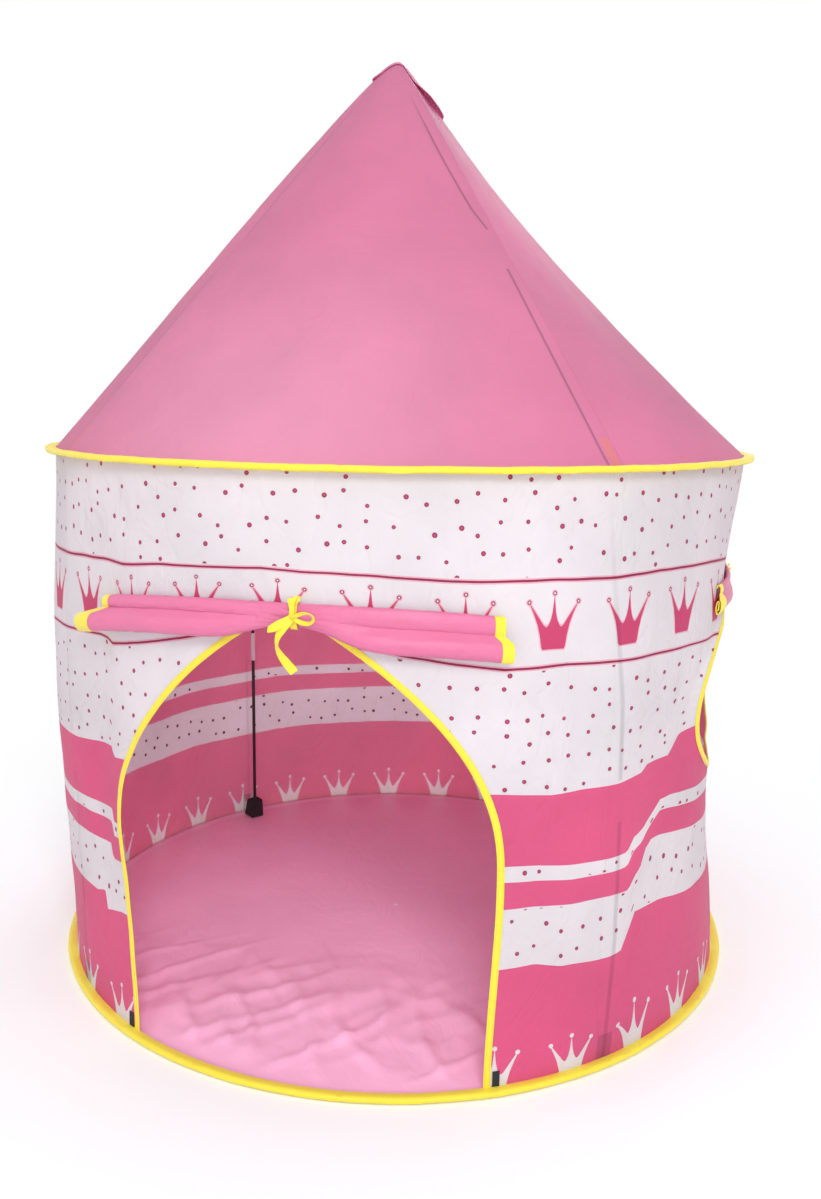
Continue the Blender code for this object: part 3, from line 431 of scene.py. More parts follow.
def taffeta(name, dye, crinkle, through, roughness=0.42, shine=0.22, printed=False,
            poles_behind=False):
    """Thin smooth cloth: slight sheen, soft crinkles, and some light comes through it."""
    finish = Finish(name, roughness)
    layout, _, _ = finish.along()
    colour = wall_print(finish) if printed else dye
    if poles_behind:
        colour = pole_shade(finish, colour if printed else roof_pink_and_painted_light(finish), not printed)
    uneven = finish.ramp(finish.noise(layout, 5.0, 4.0), 0.3, 0.7, 0.94, 1.05)
    colour = finish.mix(1.0, colour, uneven, "MULTIPLY")
    soft = finish.bump(finish.noise(layout, 7.0, 3.0, 1.4), 0.012, crinkle)
    sharp = finish.math("ABSOLUTE", finish.math("SUBTRACT", finish.noise(
        layout, 11.0, 2.0, 2.2, (1.0, 0.7, 1.0)), 0.5))
    sharp = finish.math("MINIMUM", sharp, 0.06)
    creased = finish.bump(sharp, 0.010, crinkle * 1.2, soft)
    weave = finish.product(*(finish.ribs(layout, way, 260.0, 0.6) for way in "XY"))
    finish.shader.inputs["Specular IOR Level"].default_value = shine
    finish.shader.inputs["Sheen Weight"].default_value = 0.08
    finish.shader.inputs["Sheen Roughness"].default_value = 0.4
    if through:
        lit = finish.add("ShaderNodeBsdfTranslucent", {}, Color=colour, Normal=creased)
        finish.end_in(finish.surface, through, finish.shader.outputs[0], lit.outputs[0])
    return finish.done(colour, finish.bump(weave, 0.0002, 0.35, creased))


def tape(name, stitch_at=None, width=0.012):
    """Woven yellow tape, with a row of stitches along each edge where it is sewn on."""
    finish = Finish(name, 0.55)
    layout, run, across = finish.along()
    woven = finish.bump(finish.ribs(layout, "X", 220.0, 0.5), 0.00025, 0.5)
    normal = finish.bump(finish.noise(layout, 90.0, 2.0, 0.5, (1.0, 0.25, 1.0)), 0.0018, 0.55,
                         woven)
    darker = tuple(part * 0.80 for part in TAPE_YELLOW[:3]) + (1,)
    colour = finish.mix(finish.product(finish.noise(layout, 30.0, 3.0), 0.35), TAPE_YELLOW,
                        darker)
    if stitch_at:
        dash = finish.near(wrapped(finish, run, 0.0036, 0.0), 0.0, 0.0012)
        rows = finish.any_of(finish.near(across, stitch_at, 0.00035),
                             finish.near(across, width - stitch_at, 0.00035))
        stitches = finish.product(dash, rows)
        colour = finish.mix(finish.product(stitches, 0.45), colour, darker)
        normal = finish.bump(stitches, 0.0005, 0.8, normal)
    finish.shader.inputs["Sheen Weight"].default_value = 0.2
    return finish.done(colour, normal)


def webbing(name):
    """Black polyester webbing with a coarse rib."""
    finish = Finish(name, 0.85)
    place = finish.place()
    fuzz = finish.noise(place, 900.0, 2.0)
    fluff = tuple(part * 2 + 0.01 for part in WEB_BLACK[:3]) + (1,)
    return finish.done(finish.mix(finish.product(fuzz, 0.5), WEB_BLACK, fluff),
                       finish.bump(finish.ribs(place, "Z", 160.0, 1.0), 0.0006, 0.8))


def coated_rod(name):
    """Black coated rod with fine scuffs along it."""
    finish = Finish(name, 0.38)
    scuffs = finish.noise(finish.place(), 160.0, 4.0, 0.2, (1.0, 1.0, 0.08))
    finish.feed(finish.shader.inputs["Roughness"], finish.ramp(scuffs, 0.0, 1.0, 0.28, 0.55))
    return finish.done(finish.mix(finish.product(scuffs, 0.4), ROD_BLACK, ROD_SCUFF),
                       finish.bump(scuffs, 0.0002, 0.3))


def moulded(name):
    """White moulded plastic, a little uneven."""
    finish = Finish(name, 0.4)
    place = finish.place()
    cloud = finish.product(finish.noise(place, 30.0, 2.0), 0.25)
    return finish.done(finish.mix(cloud, SLEEVE_WHITE, SLEEVE_CLOUD),
                       finish.bump(finish.noise(place, 420.0, 3.0), 0.0001, 0.4))


def hoop_wire(name):
    """Bare spring wire with drawn lines along it."""
    finish = Finish(name, 0.3, 1.0)
    drawn = finish.noise(finish.place(), 600.0, 3.0)
    return finish.done(finish.mix(drawn, WIRE_DULL, WIRE_BRIGHT),
                       finish.bump(drawn, 0.0001, 0.3))


PINK_TAFFETA = taffeta("pink_roof_taffeta", ROOF_PINK, crinkle=0.32, through=0.55,
                       poles_behind=True)
PATCH_TAFFETA = taffeta("pink_patch_taffeta", ROOF_PINK, crinkle=0.28, through=0.45)
CURTAIN_TAFFETA = taffeta("pink_curtain_taffeta", CURTAIN_PINK, crinkle=0.40, through=0.15,
                          shine=0.4)
FLOOR_TAFFETA = taffeta("pink_floor_taffeta", FLOOR_PINK, crinkle=0.20, through=0.0,
                        roughness=0.32, shine=0.5)
WALL_TAFFETA = taffeta("printed_wall_taffeta", PRINT_WHITE, crinkle=0.50, through=0.52,
                       printed=True, poles_behind=True)
YELLOW_TAPE = tape("yellow_binding_tape", stitch_at=0.0030)
EDGE_TAPE = tape("yellow_edge_tape", stitch_at=0.0016, width=EDGE_BAND)
YELLOW_RIBBON = tape("yellow_ribbon")
BLACK_WEB = webbing("black_webbing")
BLACK_ROD = coated_rod("black_coated_rod")
WHITE_PLASTIC = moulded("white_moulded_plastic")
SPRING_WIRE = hoop_wire("spring_wire")


# Making pieces


def outward(azimuth):
    """Level direction away from the tent's middle."""
    angle = math.radians(azimuth)
    return Vector((math.sin(angle), -math.cos(angle), 0))


def tangent(azimuth):
    """Level direction along the wall, towards larger azimuths."""
    angle = math.radians(azimuth)
    return Vector((math.cos(angle), math.sin(angle), 0))


def at(azimuth, radius, height):
    return outward(azimuth) * radius + Vector((0, 0, height))


def ease(share):
    """Goes from 0 to 1 with a soft start and a soft end."""
    share = min(max(share, 0), 1)
    return share * share * (3 - 2 * share)


def wrinkle(u, v, scale, seed=0.0):
    """Smooth unevenness from -1 to 1 over a cloth's layout."""
    return noise.noise(Vector((u / scale, v / scale, seed)))


def only(piece):
    """Makes this piece the one that operators act on."""
    bpy.ops.object.select_all(action="DESELECT")
    piece.select_set(True)
    bpy.context.view_layer.objects.active = piece
    return piece


def just_added(name):
    """The primitive that was just added, under its own name."""
    piece = bpy.context.object
    piece.name = piece.data.name = name
    return piece


def apply_all(piece):
    only(piece)
    for modifier in list(piece.modifiers):
        bpy.ops.object.modifier_apply(modifier=modifier.name)
    return piece


def combine(piece, operation, other):
    """Cuts the other shape out of the piece, or joins it on, and does away with it."""
    change = piece.modifiers.new("combined", "BOOLEAN")
    change.operation = operation
    change.object = other
    apply_all(piece)
    bpy.data.objects.remove(other, do_unlink=True)
    return piece


def soften(piece, width, segments, corner):
    """Rounds the edges that turn by more than the corner, in degrees."""
    edge = piece.modifiers.new("soft_edges", "BEVEL")
    edge.width = width
    edge.segments = segments
    edge.limit_method = "ANGLE"
    edge.angle_limit = math.radians(corner)
    return apply_all(piece)


def smooth(piece, angle=50):
    only(piece)
    bpy.ops.object.shade_smooth_by_angle(angle=math.radians(angle))
    return piece


def weld(piece, distance=0.00002):
    """Merges points that lie in one place, as at a seam or a tip."""
    only(piece)
    bpy.ops.object.mode_set(mode="EDIT")
    bpy.ops.mesh.select_all(action="SELECT")
    bpy.ops.mesh.remove_doubles(threshold=distance)
    bpy.ops.object.mode_set(mode="OBJECT")
    return piece


def dressed(piece, finish, body, slot, *nodes):
    """Gives a finished piece its material and its body, and hides the solids it stands for; the
    slot is not used.
    """
    piece.data.materials.clear()
    piece.data.materials.append(finish)
    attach(piece, body)
    if nodes:
        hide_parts(*nodes)
    return piece


def cloth_grid(name, columns, rows, place, layout, thickness=CLOTH, offset=-1):
    """Grid laid out as flat cloth, moved to its place and given its thickness."""
    bpy.ops.mesh.primitive_grid_add(x_subdivisions=columns, y_subdivisions=rows, size=2)
    piece = just_added(name)
    spots = [(round((v.co.x + 1) / 2 * columns), round((v.co.y + 1) / 2 * rows))
             for v in piece.data.vertices]
    for vertex, spot in zip(piece.data.vertices, spots):
        vertex.co = place(*spot)
    flat = piece.data.uv_layers[0]
    flat.name = "layout"
    for loop in piece.data.loops:
        flat.data[loop.index].uv = layout(*spots[loop.vertex_index])
    weld(piece)
    piece["area"] = sum(face.area for face in piece.data.polygons)
    solid = piece.modifiers.new("thickness", "SOLIDIFY")
    solid.thickness = thickness
    solid.offset = offset
    return smooth(apply_all(piece), 60)


def round_bar(name, start, end, diameter, chamfer, sides=24):
    """Straight round bar with softened ends."""
    run = end - start
    bpy.ops.mesh.primitive_cylinder_add(vertices=sides, radius=diameter / 2, depth=run.length)
    piece = only(just_added(name))
    piece.rotation_euler = run.to_track_quat("Z", "Y").to_euler()
    piece.location = (start + end) / 2
    bpy.ops.object.transform_apply(location=True, rotation=True, scale=True)
    return smooth(soften(piece, chamfer, 2, 50), 40)


def hollow(piece, start, end, play=ROD_PLAY):
    """Bores a hole for a rod through or into the piece."""
    drill = round_bar("drill", start, end, ROD + play, 0.0001)
    return smooth(combine(piece, "DIFFERENCE", drill), 40)


# Shapes of the cloth


def window_half_width(height):
    low = height < WINDOW_WIDE_HEIGHT
    end = WINDOW_BOTTOM_HEIGHT if low else WINDOW_TOP_HEIGHT
    share = max(1 - ((height - WINDOW_WIDE_HEIGHT) / (end - WINDOW_WIDE_HEIGHT)) ** ARCH_CURVE, 0)
    return WINDOW_HALF_WIDTH * share ** (1 / ARCH_CURVE if low else ARCH_POINT)


def window_lip(azimuth, height):
    """How far the wall stands out where the window's front edge curls."""
    if not WINDOW_BOTTOM_HEIGHT < height < WINDOW_TOP_HEIGHT or azimuth > WINDOW_AZIMUTH:
        return 0
    edge = WINDOW_AZIMUTH - math.degrees(math.asin(window_half_width(height) / WALL_RADIUS))
    share = (height - WINDOW_BOTTOM_HEIGHT) / (WINDOW_TOP_HEIGHT - WINDOW_BOTTOM_HEIGHT)
    near = math.exp(-(((azimuth - edge - 1) / 1.6) ** 2))
    return WINDOW_LIP * near * min(1, 6 * share, 5 * (1 - share))


def wall_radius(azimuth, height):
    share = min(max(height / RING_HEIGHT, 0), 1)
    folded = 0
    for middle, reach, middle_share, reach_share, depth in WALL_FOLDS:
        aside = (azimuth - middle + 180) % 360 - 180
        across = math.exp(-((aside / reach) ** 2))
        along = math.exp(-(((share - middle_share) / reach_share) ** 2))
        folded += depth * across * along
    return WALL_RADIUS + window_lip(azimuth, height) - folded * 4 * share * (1 - share)


def wall_ripple(azimuth, height):
    """Small unevenness of hung cloth: soft billows, and short tucks under the ring's seam."""
    u = round_wall(azimuth)
    share = min(max(height / RING_HEIGHT, 0), 1)
    held = min(1, 6 * share, 6 * (1 - share))
    billow = 0.0026 * wrinkle(u, height * 0.6, 0.13) + 0.0012 * wrinkle(u, height * 0.8, 0.05, 3)
    tucks = 0.0014 * wrinkle(u, height * 0.15, 0.022, 7) * math.exp(-(1 - share) * 12)
    low_tucks = 0.0012 * wrinkle(u, height * 0.2, 0.026, 9) * math.exp(-share * 12)
    return billow * held + (tucks + low_tucks) * min(1, 40 * share, 40 * (1 - share))


def on_wall(azimuth, height, out=0.0):
    radius = wall_radius(azimuth, height) + wall_ripple(azimuth, height)
    return at(azimuth, radius + out, height)


# Folds carry the print up or down: for rows of the flat print, in metres up, pairs of azimuth
# and lift in millimetres
PRINT_LIFTS = (
    (0.0, ((0, 0),)),
    (0.168, ((-110, 0), (-60, 0), (-38.9, 2), (-36.3, 10), (-35.6, -16), (-30.7, -4), (-20, 0),
             (20, 0), (28.8, -5), (34, -5), (38, -14), (46.8, -22), (49, -20), (51.7, 28),
             (58, 25), (68, 13), (80, 8), (110, 0))),
    (0.244, ((-110, 0), (-60, 0), (-38, 4), (-34.2, 7), (-33.4, -12), (-28, -8), (-15, 0),
             (20, 0), (33.5, -4), (39.5, -10), (46, -14), (50, -15), (51.5, 0), (53, 8),
             (54.3, 29), (55.8, 39), (58, 39), (68, 28), (80, 20), (110, 0))),
    (0.287, ((-110, 0), (-60, 0), (-36, 5), (-33.6, 6), (-33, -12), (-28, -8), (-15, 0),
             (20, 0), (33.8, -5), (40, -11), (46, -15), (49.5, -14), (51, 3), (53.5, 8),
             (56.3, 27), (57.8, 40), (60, 40), (67.5, 33), (71, 32), (85, 15), (110, 0))),
    (0.386, ((-110, 0), (-60, -8), (-43.5, -6), (-39.4, -2), (-32.8, 2), (-31.9, -10),
             (-28.3, -5), (-15, 0), (26, 1), (35.5, -7), (40.4, -6), (47.2, -10), (52, -6),
             (52.9, 2), (58.6, 5), (60.6, 32), (64.1, 40), (75, 30), (110, 0))),
    (0.548, ((-110, 0), (-60, -22), (-44, -17), (-37.5, -13), (-34.5, -12), (-32.1, -14),
             (-30.7, -19), (-27, -14), (-20.7, -2), (-16, 7), (-12.6, 15), (-10, 20), (0, 20),
             (8, 16), (11.9, 12), (16.8, 3), (22.3, -6), (28.3, -13), (37, -11), (45.8, -15),
             (66.8, -15), (90, -10), (120, 0))),
    (0.640, ((-110, 0), (-60, -10), (-47.4, -8), (-36.2, -5), (-31, -3), (-27.2, -5),
             (-18.4, 2), (-13.2, 4), (-3.5, 9), (1.9, 6), (14.6, 3), (24.6, -2), (45, -4),
             (52.7, -2), (66.5, -3), (77, -9), (110, 0))),
    (0.763, ((0, 0),)),
)


def along_pairs(pairs, spot):
    """Value at a spot on the straight lines between pairs of spot and value."""
    if spot <= pairs[0][0]:
        return pairs[0][1]
    for (first, low), (second, high) in zip(pairs, pairs[1:]):
        if spot <= second:
            return low + (high - low) * (spot - first) / (second - first)
    return pairs[-1][1]


def print_height(azimuth, height):
    """Height on the flat print of the cloth that hangs at this place."""
    u = round_wall(azimuth)
    drift = 0.003 * wrinkle(u, height, 0.13, 51) + 0.001 * wrinkle(u, height, 0.04, 53)
    drift *= min(1, 8 * height, 8 * (RING_HEIGHT - height))
    flat = height
    for _ in range(4):
        rows = [(row, along_pairs(pairs, azimuth)) for row, pairs in PRINT_LIFTS]
        flat = height - drift - 0.001 * along_pairs(rows, flat)
    return flat


def lean(height):
    """How far, and which way, the roof leans at this height."""
    share = (height - RING_HEIGHT) / (APEX_HEIGHT - RING_HEIGHT)
    return outward(LEAN_AZIMUTH) * APEX_LEAN * max(share, 0)


def drop_to(radius):
    """How far the rounded tip has dropped at this radius."""
    return math.hypot(radius / ROOF_SPREAD, TIP_ROUNDING) - TIP_ROUNDING


def gore_at(azimuth):
    """The roof's gore at this azimuth, with the azimuths of its two seams."""
    turned_on = (azimuth + FRONT_POLE) % 360 - FRONT_POLE
    for side, (first, last) in SIDES.items():
        if first <= turned_on <= last:
            return side, first, last
    return "left", *SIDES["left"]


def roof_radius(azimuth, height):
    cone = ROOF_SPREAD * math.sqrt(
        max(APEX_HEIGHT - height + TIP_ROUNDING, TIP_ROUNDING) ** 2 - TIP_ROUNDING**2)
    side, first, last = gore_at(azimuth)
    across = math.sin(math.pi * (((azimuth - first) % 360) / (last - first)))
    share = max((height - RING_HEIGHT) / (APEX_HEIGHT - RING_HEIGHT), 0)
    sag, upward = GORE_SAGS[side]
    along = max(math.sin(math.pi * min(share, 1) ** upward), 0) ** 0.7
    return cone - ROOF_SAG * sag * across * along


def roof_ripple(azimuth, height):
    _, first, last = gore_at(azimuth)
    share = min(max((height - RING_HEIGHT) / (APEX_HEIGHT - RING_HEIGHT), 0), 1)
    across = ((azimuth - first) % 360) / (last - first)
    held = min(1, 8 * share, 5 * (1 - share), 8 * across, 8 * (1 - across))
    u = math.radians(azimuth) * 0.35
    tucks = 0.0016 * wrinkle(u, height * 0.1, 0.03, 5) * math.exp(-share * 14)
    hung = 0.0052 * wrinkle(azimuth / 60, height * 0.12, 0.16, 15) * math.exp(-share * 2.2)
    return held * (0.0028 * wrinkle(u, height * 0.5, 0.14, 11) + hung
                   + 0.0010 * wrinkle(u, height, 0.05, 13)) + tucks * min(1, 40 * share)


def on_roof(azimuth, height, out=0.0):
    slope = math.hypot(1, ROOF_SPREAD)
    radius = roof_radius(azimuth, height) + roof_ripple(azimuth, height)
    normal = (outward(azimuth) + Vector((0, 0, ROOF_SPREAD))) / slope
    return lean(height) + at(azimuth, radius, height) + normal * (CLOTH + out)


# Where the painted shade of the front right pole lies, as it shows through the cloth: pairs of
# height and azimuth
ROOF_SHADE = ((0.763, 42.5), (1.060, 42.5), (1.085, 40.5), (1.131, 38.9), (1.171, 37.2),
              (1.213, 35.5), (1.240, 33.1), (1.300, 30.0))
WALL_SHADE = ((0.0, 46.3), (0.17, 47.7), (0.324, 47.4), (0.484, 46.6), (0.609, 44.5),
              (0.704, 43.2), (0.763, 42.5))
# How plainly the painted shade of the other poles shows beside it
FAINT_POLE_SHARE = 0.35


def mark_poles(piece, shade):
    """Notes at each point, for the painted pole shade, the distance from the nearest pole's line,
    how plainly that pole shows and the height, and whether the point is on the cloth's inner
    face."""
    notes = []
    for vertex in piece.data.vertices:
        flat = vertex.co - lean(vertex.co.z)
        radius, height = math.hypot(flat.x, flat.y), vertex.co.z
        azimuth = math.degrees(math.atan2(flat.x, -flat.y))
        spots = [(along_pairs(shade, height), 1.0)]
        spots += [(pole, FAINT_POLE_SHARE) for pole in (BACK_POLE, -BACK_POLE, -FRONT_POLE)]
        aside, plain = min((((azimuth - spot + 180) % 360 - 180, plain)
                            for spot, plain in spots), key=lambda pair: abs(pair[0]))
        notes += [math.radians(aside) * radius, plain, height]
    piece.data.attributes.new("by_pole", "FLOAT_VECTOR", "POINT").data.foreach_set(
        "vector", notes)
    half = len(piece.data.vertices) // 2
    piece.data.attributes.new("inner", "FLOAT", "POINT").data.foreach_set(
        "value", [0.0] * half + [1.0] * half)


# Walls, roof and floor


def even_points(points, spacing):
    """The same line with its points an even distance apart."""
    runs = [0.0]
    for before, after in zip(points, points[1:]):
        runs.append(runs[-1] + math.dist(before, after))
    count, spot, even = round(runs[-1] / spacing), 0, []
    for index in range(count + 1):
        wanted = runs[-1] * index / count
        while spot < len(points) - 2 and runs[spot + 1] < wanted:
            spot += 1
        share = (wanted - runs[spot]) / (runs[spot + 1] - runs[spot])
        even.append(tuple(Vector(points[spot]).lerp(Vector(points[spot + 1]), share)))
    return even


def arch_half(half_width, spring, top, steps):
    """Right half of a pointed arch, from where it springs up to its top."""
    half = []
    for step in range(steps):
        share = math.sin(math.pi / 2 * step / steps)
        half.append((half_width * (1 - share**ARCH_CURVE) ** ARCH_POINT,
                     spring + (top - spring) * share))
    return half + [(0, top)]


def softened(points, times, closed):
    """The same line with its corners rounded off."""
    for _ in range(times):
        nearby = zip(points[-1:] + points[:-1], points, points[1:] + points[:1])
        moved = [((a[0] + 2 * b[0] + c[0]) / 4, (a[1] + 2 * b[1] + c[1]) / 4)
                 for a, b, c in nearby]
        points = moved if closed else [points[0], *moved[1:-1], points[-1]]
    return points


def door_outline():
    """Pointed arch with a rounded tip, from the right foot over the top to the left foot,
    pulled out a little on its left."""
    half = []
    for step in range(20):
        share = step / 20
        across = DOOR_FOOT_HALF_WIDTH + (DOOR_HALF_WIDTH - DOOR_FOOT_HALF_WIDTH) * ease(share)
        half.append((across, DOOR_FOOT + (DOOR_SPRING_HEIGHT - DOOR_FOOT) * share))
    half += arch_half(DOOR_HALF_WIDTH, DOOR_SPRING_HEIGHT, DOOR_TOP_HEIGHT, 60)
    left = []
    for across, height in reversed(half[:-1]):
        bulge = DOOR_BULGE * math.exp(-(((height - BULGE_HEIGHT) / BULGE_REACH) ** 2))
        left.append((-across * (1 + bulge), height))
    return softened(even_points(half + left, GRAIN), 4, False)


def window_outline():
    """Pointed arch above, round below, anticlockwise from its lowest point."""
    half = []
    drop = WINDOW_WIDE_HEIGHT - WINDOW_BOTTOM_HEIGHT
    for step in range(40):
        angle = math.pi / 2 * step / 40
        half.append((WINDOW_HALF_WIDTH * math.sin(angle) ** (2 / ARCH_CURVE),
                     WINDOW_WIDE_HEIGHT - drop * math.cos(angle) ** (2 / ARCH_CURVE)))
    half += arch_half(WINDOW_HALF_WIDTH, WINDOW_WIDE_HEIGHT, WINDOW_TOP_HEIGHT, 40)
    left = [(-x, z) for x, z in reversed(half[:-1])]
    return softened(even_points(half + left, GRAIN)[:-1], 6, True)


def inset_outline(outline, inset, closed):
    """The outline moved into the opening by the inset."""
    moved = []
    last = len(outline) - 1
    for index, point in enumerate(outline):
        before = outline[index - 1] if closed or index else point
        after = outline[(index + 1) % len(outline)] if closed or index < last else point
        run = Vector((after[0] - before[0], after[1] - before[1])).normalized()
        height = point[1] if not closed and index in (0, last) else point[1] + run.x * inset
        moved.append((point[0] - run.y * inset, height))
    return moved


def through_wall(azimuth, across, height, out):
    """Point on the wall that lies this far across from the azimuth, seen straight on."""
    aside = math.asin(across / WALL_RADIUS)
    for _ in range(3):
        radius = wall_radius(azimuth + math.degrees(aside), height)
        aside = math.asin(across / radius)
    return on_wall(azimuth + math.degrees(aside), height, out)


def cut_out(panel, azimuth, outline):
    """Cuts an opening straight through the wall."""
    bpy.ops.mesh.primitive_circle_add(vertices=len(outline), radius=1, fill_type="NGON")
    cutter = bpy.context.object
    turn = Matrix((tangent(azimuth), Vector((0, 0, 1)), outward(azimuth))).transposed()
    for vertex, (across, height) in zip(cutter.data.vertices, outline):
        vertex.co = turn @ Vector((across, height, WALL_RADIUS * 0.55))
    bpy.ops.object.mode_set(mode="EDIT")
    bpy.ops.mesh.select_all(action="SELECT")
    bpy.ops.mesh.extrude_region_move(
        TRANSFORM_OT_translate={"value": outward(azimuth) * WALL_RADIUS * 0.6})
    bpy.ops.mesh.select_all(action="SELECT")
    bpy.ops.mesh.normals_make_consistent(inside=False)
    bpy.ops.object.mode_set(mode="OBJECT")
    return smooth(combine(panel, "DIFFERENCE", cutter), 60)


def wall_panel(side, opening=None):
    first, last = SIDES[side]
    columns = round(round_wall(last - first) / GRAIN)
    rows = round(RING_HEIGHT / GRAIN)
    bottom, top = 0.0045, RING_HEIGHT - 0.0012

    def spot(column, row):
        margin = math.degrees(0.00015 / WALL_RADIUS)
        azimuth = first + margin + (last - first - 2 * margin) * column / columns
        return azimuth, bottom + (top - bottom) * row / rows

    def place(column, row):
        return on_wall(*spot(column, row))

    def layout(column, row):
        azimuth, height = spot(column, row)
        turned_on = azimuth - 360 if azimuth > 180 else azimuth
        return round_wall(azimuth), print_height(turned_on, height)

    panel = cloth_grid("wall_cloth_" + side, columns, rows, place, layout)
    area = panel["area"]
    mark_poles(panel, WALL_SHADE)
    if opening:
        azimuth, outline = opening
        hole = inset_outline(outline, EDGE_BAND / 3, side == "right")
        if side == "front":
            hole[0], hole[-1] = (hole[0][0], -0.02), (hole[-1][0], -0.02)
        cut_out(panel, azimuth, hole)
        ends = zip(outline, outline[1:] + outline[:1])
        area -= abs(sum(a[0] * b[1] - b[0] * a[1] for a, b in ends)) / 2
    dressed(panel, WALL_TAFFETA, "tent", "printed_cloth", "wall_" + side)
    return panel


def roof_gore(side):
    first, last = SIDES[side]
    columns = round(round_wall(last - first) / (1.4 * GRAIN))
    rows = 96
    bottom = RING_HEIGHT + 0.0005
    tip = APEX_HEIGHT - drop_to(0.006)

    def spot(column, row):
        share = row / rows
        height = bottom + (tip - bottom) * share
        radius = max(roof_radius((first + last) / 2, height), 0.006)
        margin = math.degrees(0.0002 / radius)
        return first + margin + (last - first - 2 * margin) * column / columns, height

    def place(column, row):
        return on_roof(*spot(column, row))

    def layout(column, row):
        azimuth, height = spot(column, row)
        run = (APEX_HEIGHT - height) * math.hypot(1, ROOF_SPREAD)
        turn = math.radians(azimuth - (first + last) / 2) * ROOF_SPREAD
        turn /= math.hypot(1, ROOF_SPREAD)
        return run * math.sin(turn) + 2 * list(SIDES).index(side), run * math.cos(turn)

    gore = cloth_grid("roof_cloth_" + side, columns, rows, place, layout)
    mark_poles(gore, ROOF_SHADE)
    dressed(gore, PINK_TAFFETA, "tent", "roof_cloth", "roof_" + side)
    return gore


def tip_patch():
    """Strip of roof cloth over the tip, its right end loose and lifted."""
    left, right, front, back = -0.030, 0.064, 0.010, -0.040
    columns, rows = 56, 28

    def spot(column, row):
        return left + (right - left) * column / columns, back + (front - back) * row / rows

    def place(column, row):
        along, across = spot(column, row)
        radius = max(math.hypot(along, across), 0.0005)
        azimuth = 104 - math.degrees(math.atan2(across, along))
        height = APEX_HEIGHT - drop_to(radius)
        slope = radius / ROOF_SPREAD
        slope /= ROOF_SPREAD * math.hypot(slope, TIP_ROUNDING)
        normal = (outward(azimuth) * slope + Vector((0, 0, 1))).normalized()
        loose = ease((along - 0.026) / 0.034) * (0.25 + 0.75 * row / rows)
        lift = 0.0018 + 0.0085 * loose + 0.0016 * ease((left + 0.010 - along) / 0.010)
        lift += 0.0003 * (wrinkle(along, across, 0.018, 61) + 1) * ease(radius / 0.02)
        surface = roof_radius(azimuth, height) + roof_ripple(azimuth, height)
        return lean(height) + at(azimuth, surface, height) + normal * lift

    patch = cloth_grid("tip_patch", columns, rows, place, spot)
    dressed(patch, PATCH_TAFFETA, "tent", "roof_cloth", "apex_cap")
    return patch


def ground_sheet():
    """Floor cloth, flat but for soft crinkles, its hem raised into the lower seam."""
    columns, rows = 400, 110

    def spot(column, row):
        return 360 * column / columns, WALL_RADIUS * (0.002 + 0.998 * row / rows) + 0.003

    def place(column, row):
        azimuth, radius = spot(column, row)
        flat = at(azimuth, radius, 0)
        rise = ease((radius - 0.500) / 0.012) * 0.0035
        still = ease((0.50 - radius) / 0.05)
        by_door = ease((-0.12 - flat.y) / 0.22)
        swell = 0.0024 * abs(wrinkle(flat.x, flat.y, 0.17, 21))
        # Creases near the door
        swell += 0.0014 * by_door * (1 - abs(wrinkle(flat.x * 1.3, flat.y, 0.055, 23)) * 4)
        slant = wrinkle(flat.x + 0.6 * flat.y, 0.4 * flat.y, 0.085, 25)
        swell += 0.0052 * by_door * max(1 - 5 * abs(slant), 0)
        slant = wrinkle(flat.x - 0.9 * flat.y, 0.3 * flat.y, 0.09, 27)
        swell += 0.0045 * by_door * max(1 - 5 * abs(slant), 0)
        return Vector((flat.x, flat.y, 0.0012 + rise + max(swell, 0) * still))

    def layout(column, row):
        azimuth, radius = spot(column, row)
        point = at(azimuth, radius, 0)
        return point.x, point.y

    floor = cloth_grid("ground_cloth", columns, rows, place, layout, thickness=0.0008,
                       offset=1)
    dressed(floor, FLOOR_TAFFETA, "tent", "floor_cloth", "floor_sheet")
    min(floor["area"], 0.85)
    return floor


def ring_tape(name, middle, node):
    """Folded tape sewn round the hoop, a little puckered by its seam."""
    upper = ((-0.0145, 0.0026), (-0.010, 0.0035), (-0.005, 0.0042), (-0.0012, 0.0034))
    section = (*upper, (0, 0), *((out, -up) for out, up in reversed(upper)))
    columns, rows = 720, len(section) - 1

    def place(column, row):
        azimuth = 360 * column / columns
        out, up = section[rows - row]
        u = math.radians(azimuth) * RING_RADIUS
        pucker = 1 + 0.10 * wrinkle(u, row * 0.01, 0.012, middle)
        sway = 0.0007 * wrinkle(u, 0, 0.05, middle + 1) * (middle > 0.1)
        out += 0.0009 * wrinkle(u, 0, 0.08, middle + 2)
        return at(azimuth, RING_RADIUS + out, middle + up * pucker + sway)

    def layout(column, row):
        return math.radians(360 * column / columns) * RING_RADIUS, row * 0.003

    piece = cloth_grid(name, columns, rows, place, layout)
    return dressed(piece, YELLOW_TAPE, "tent", "yellow_tape", node)


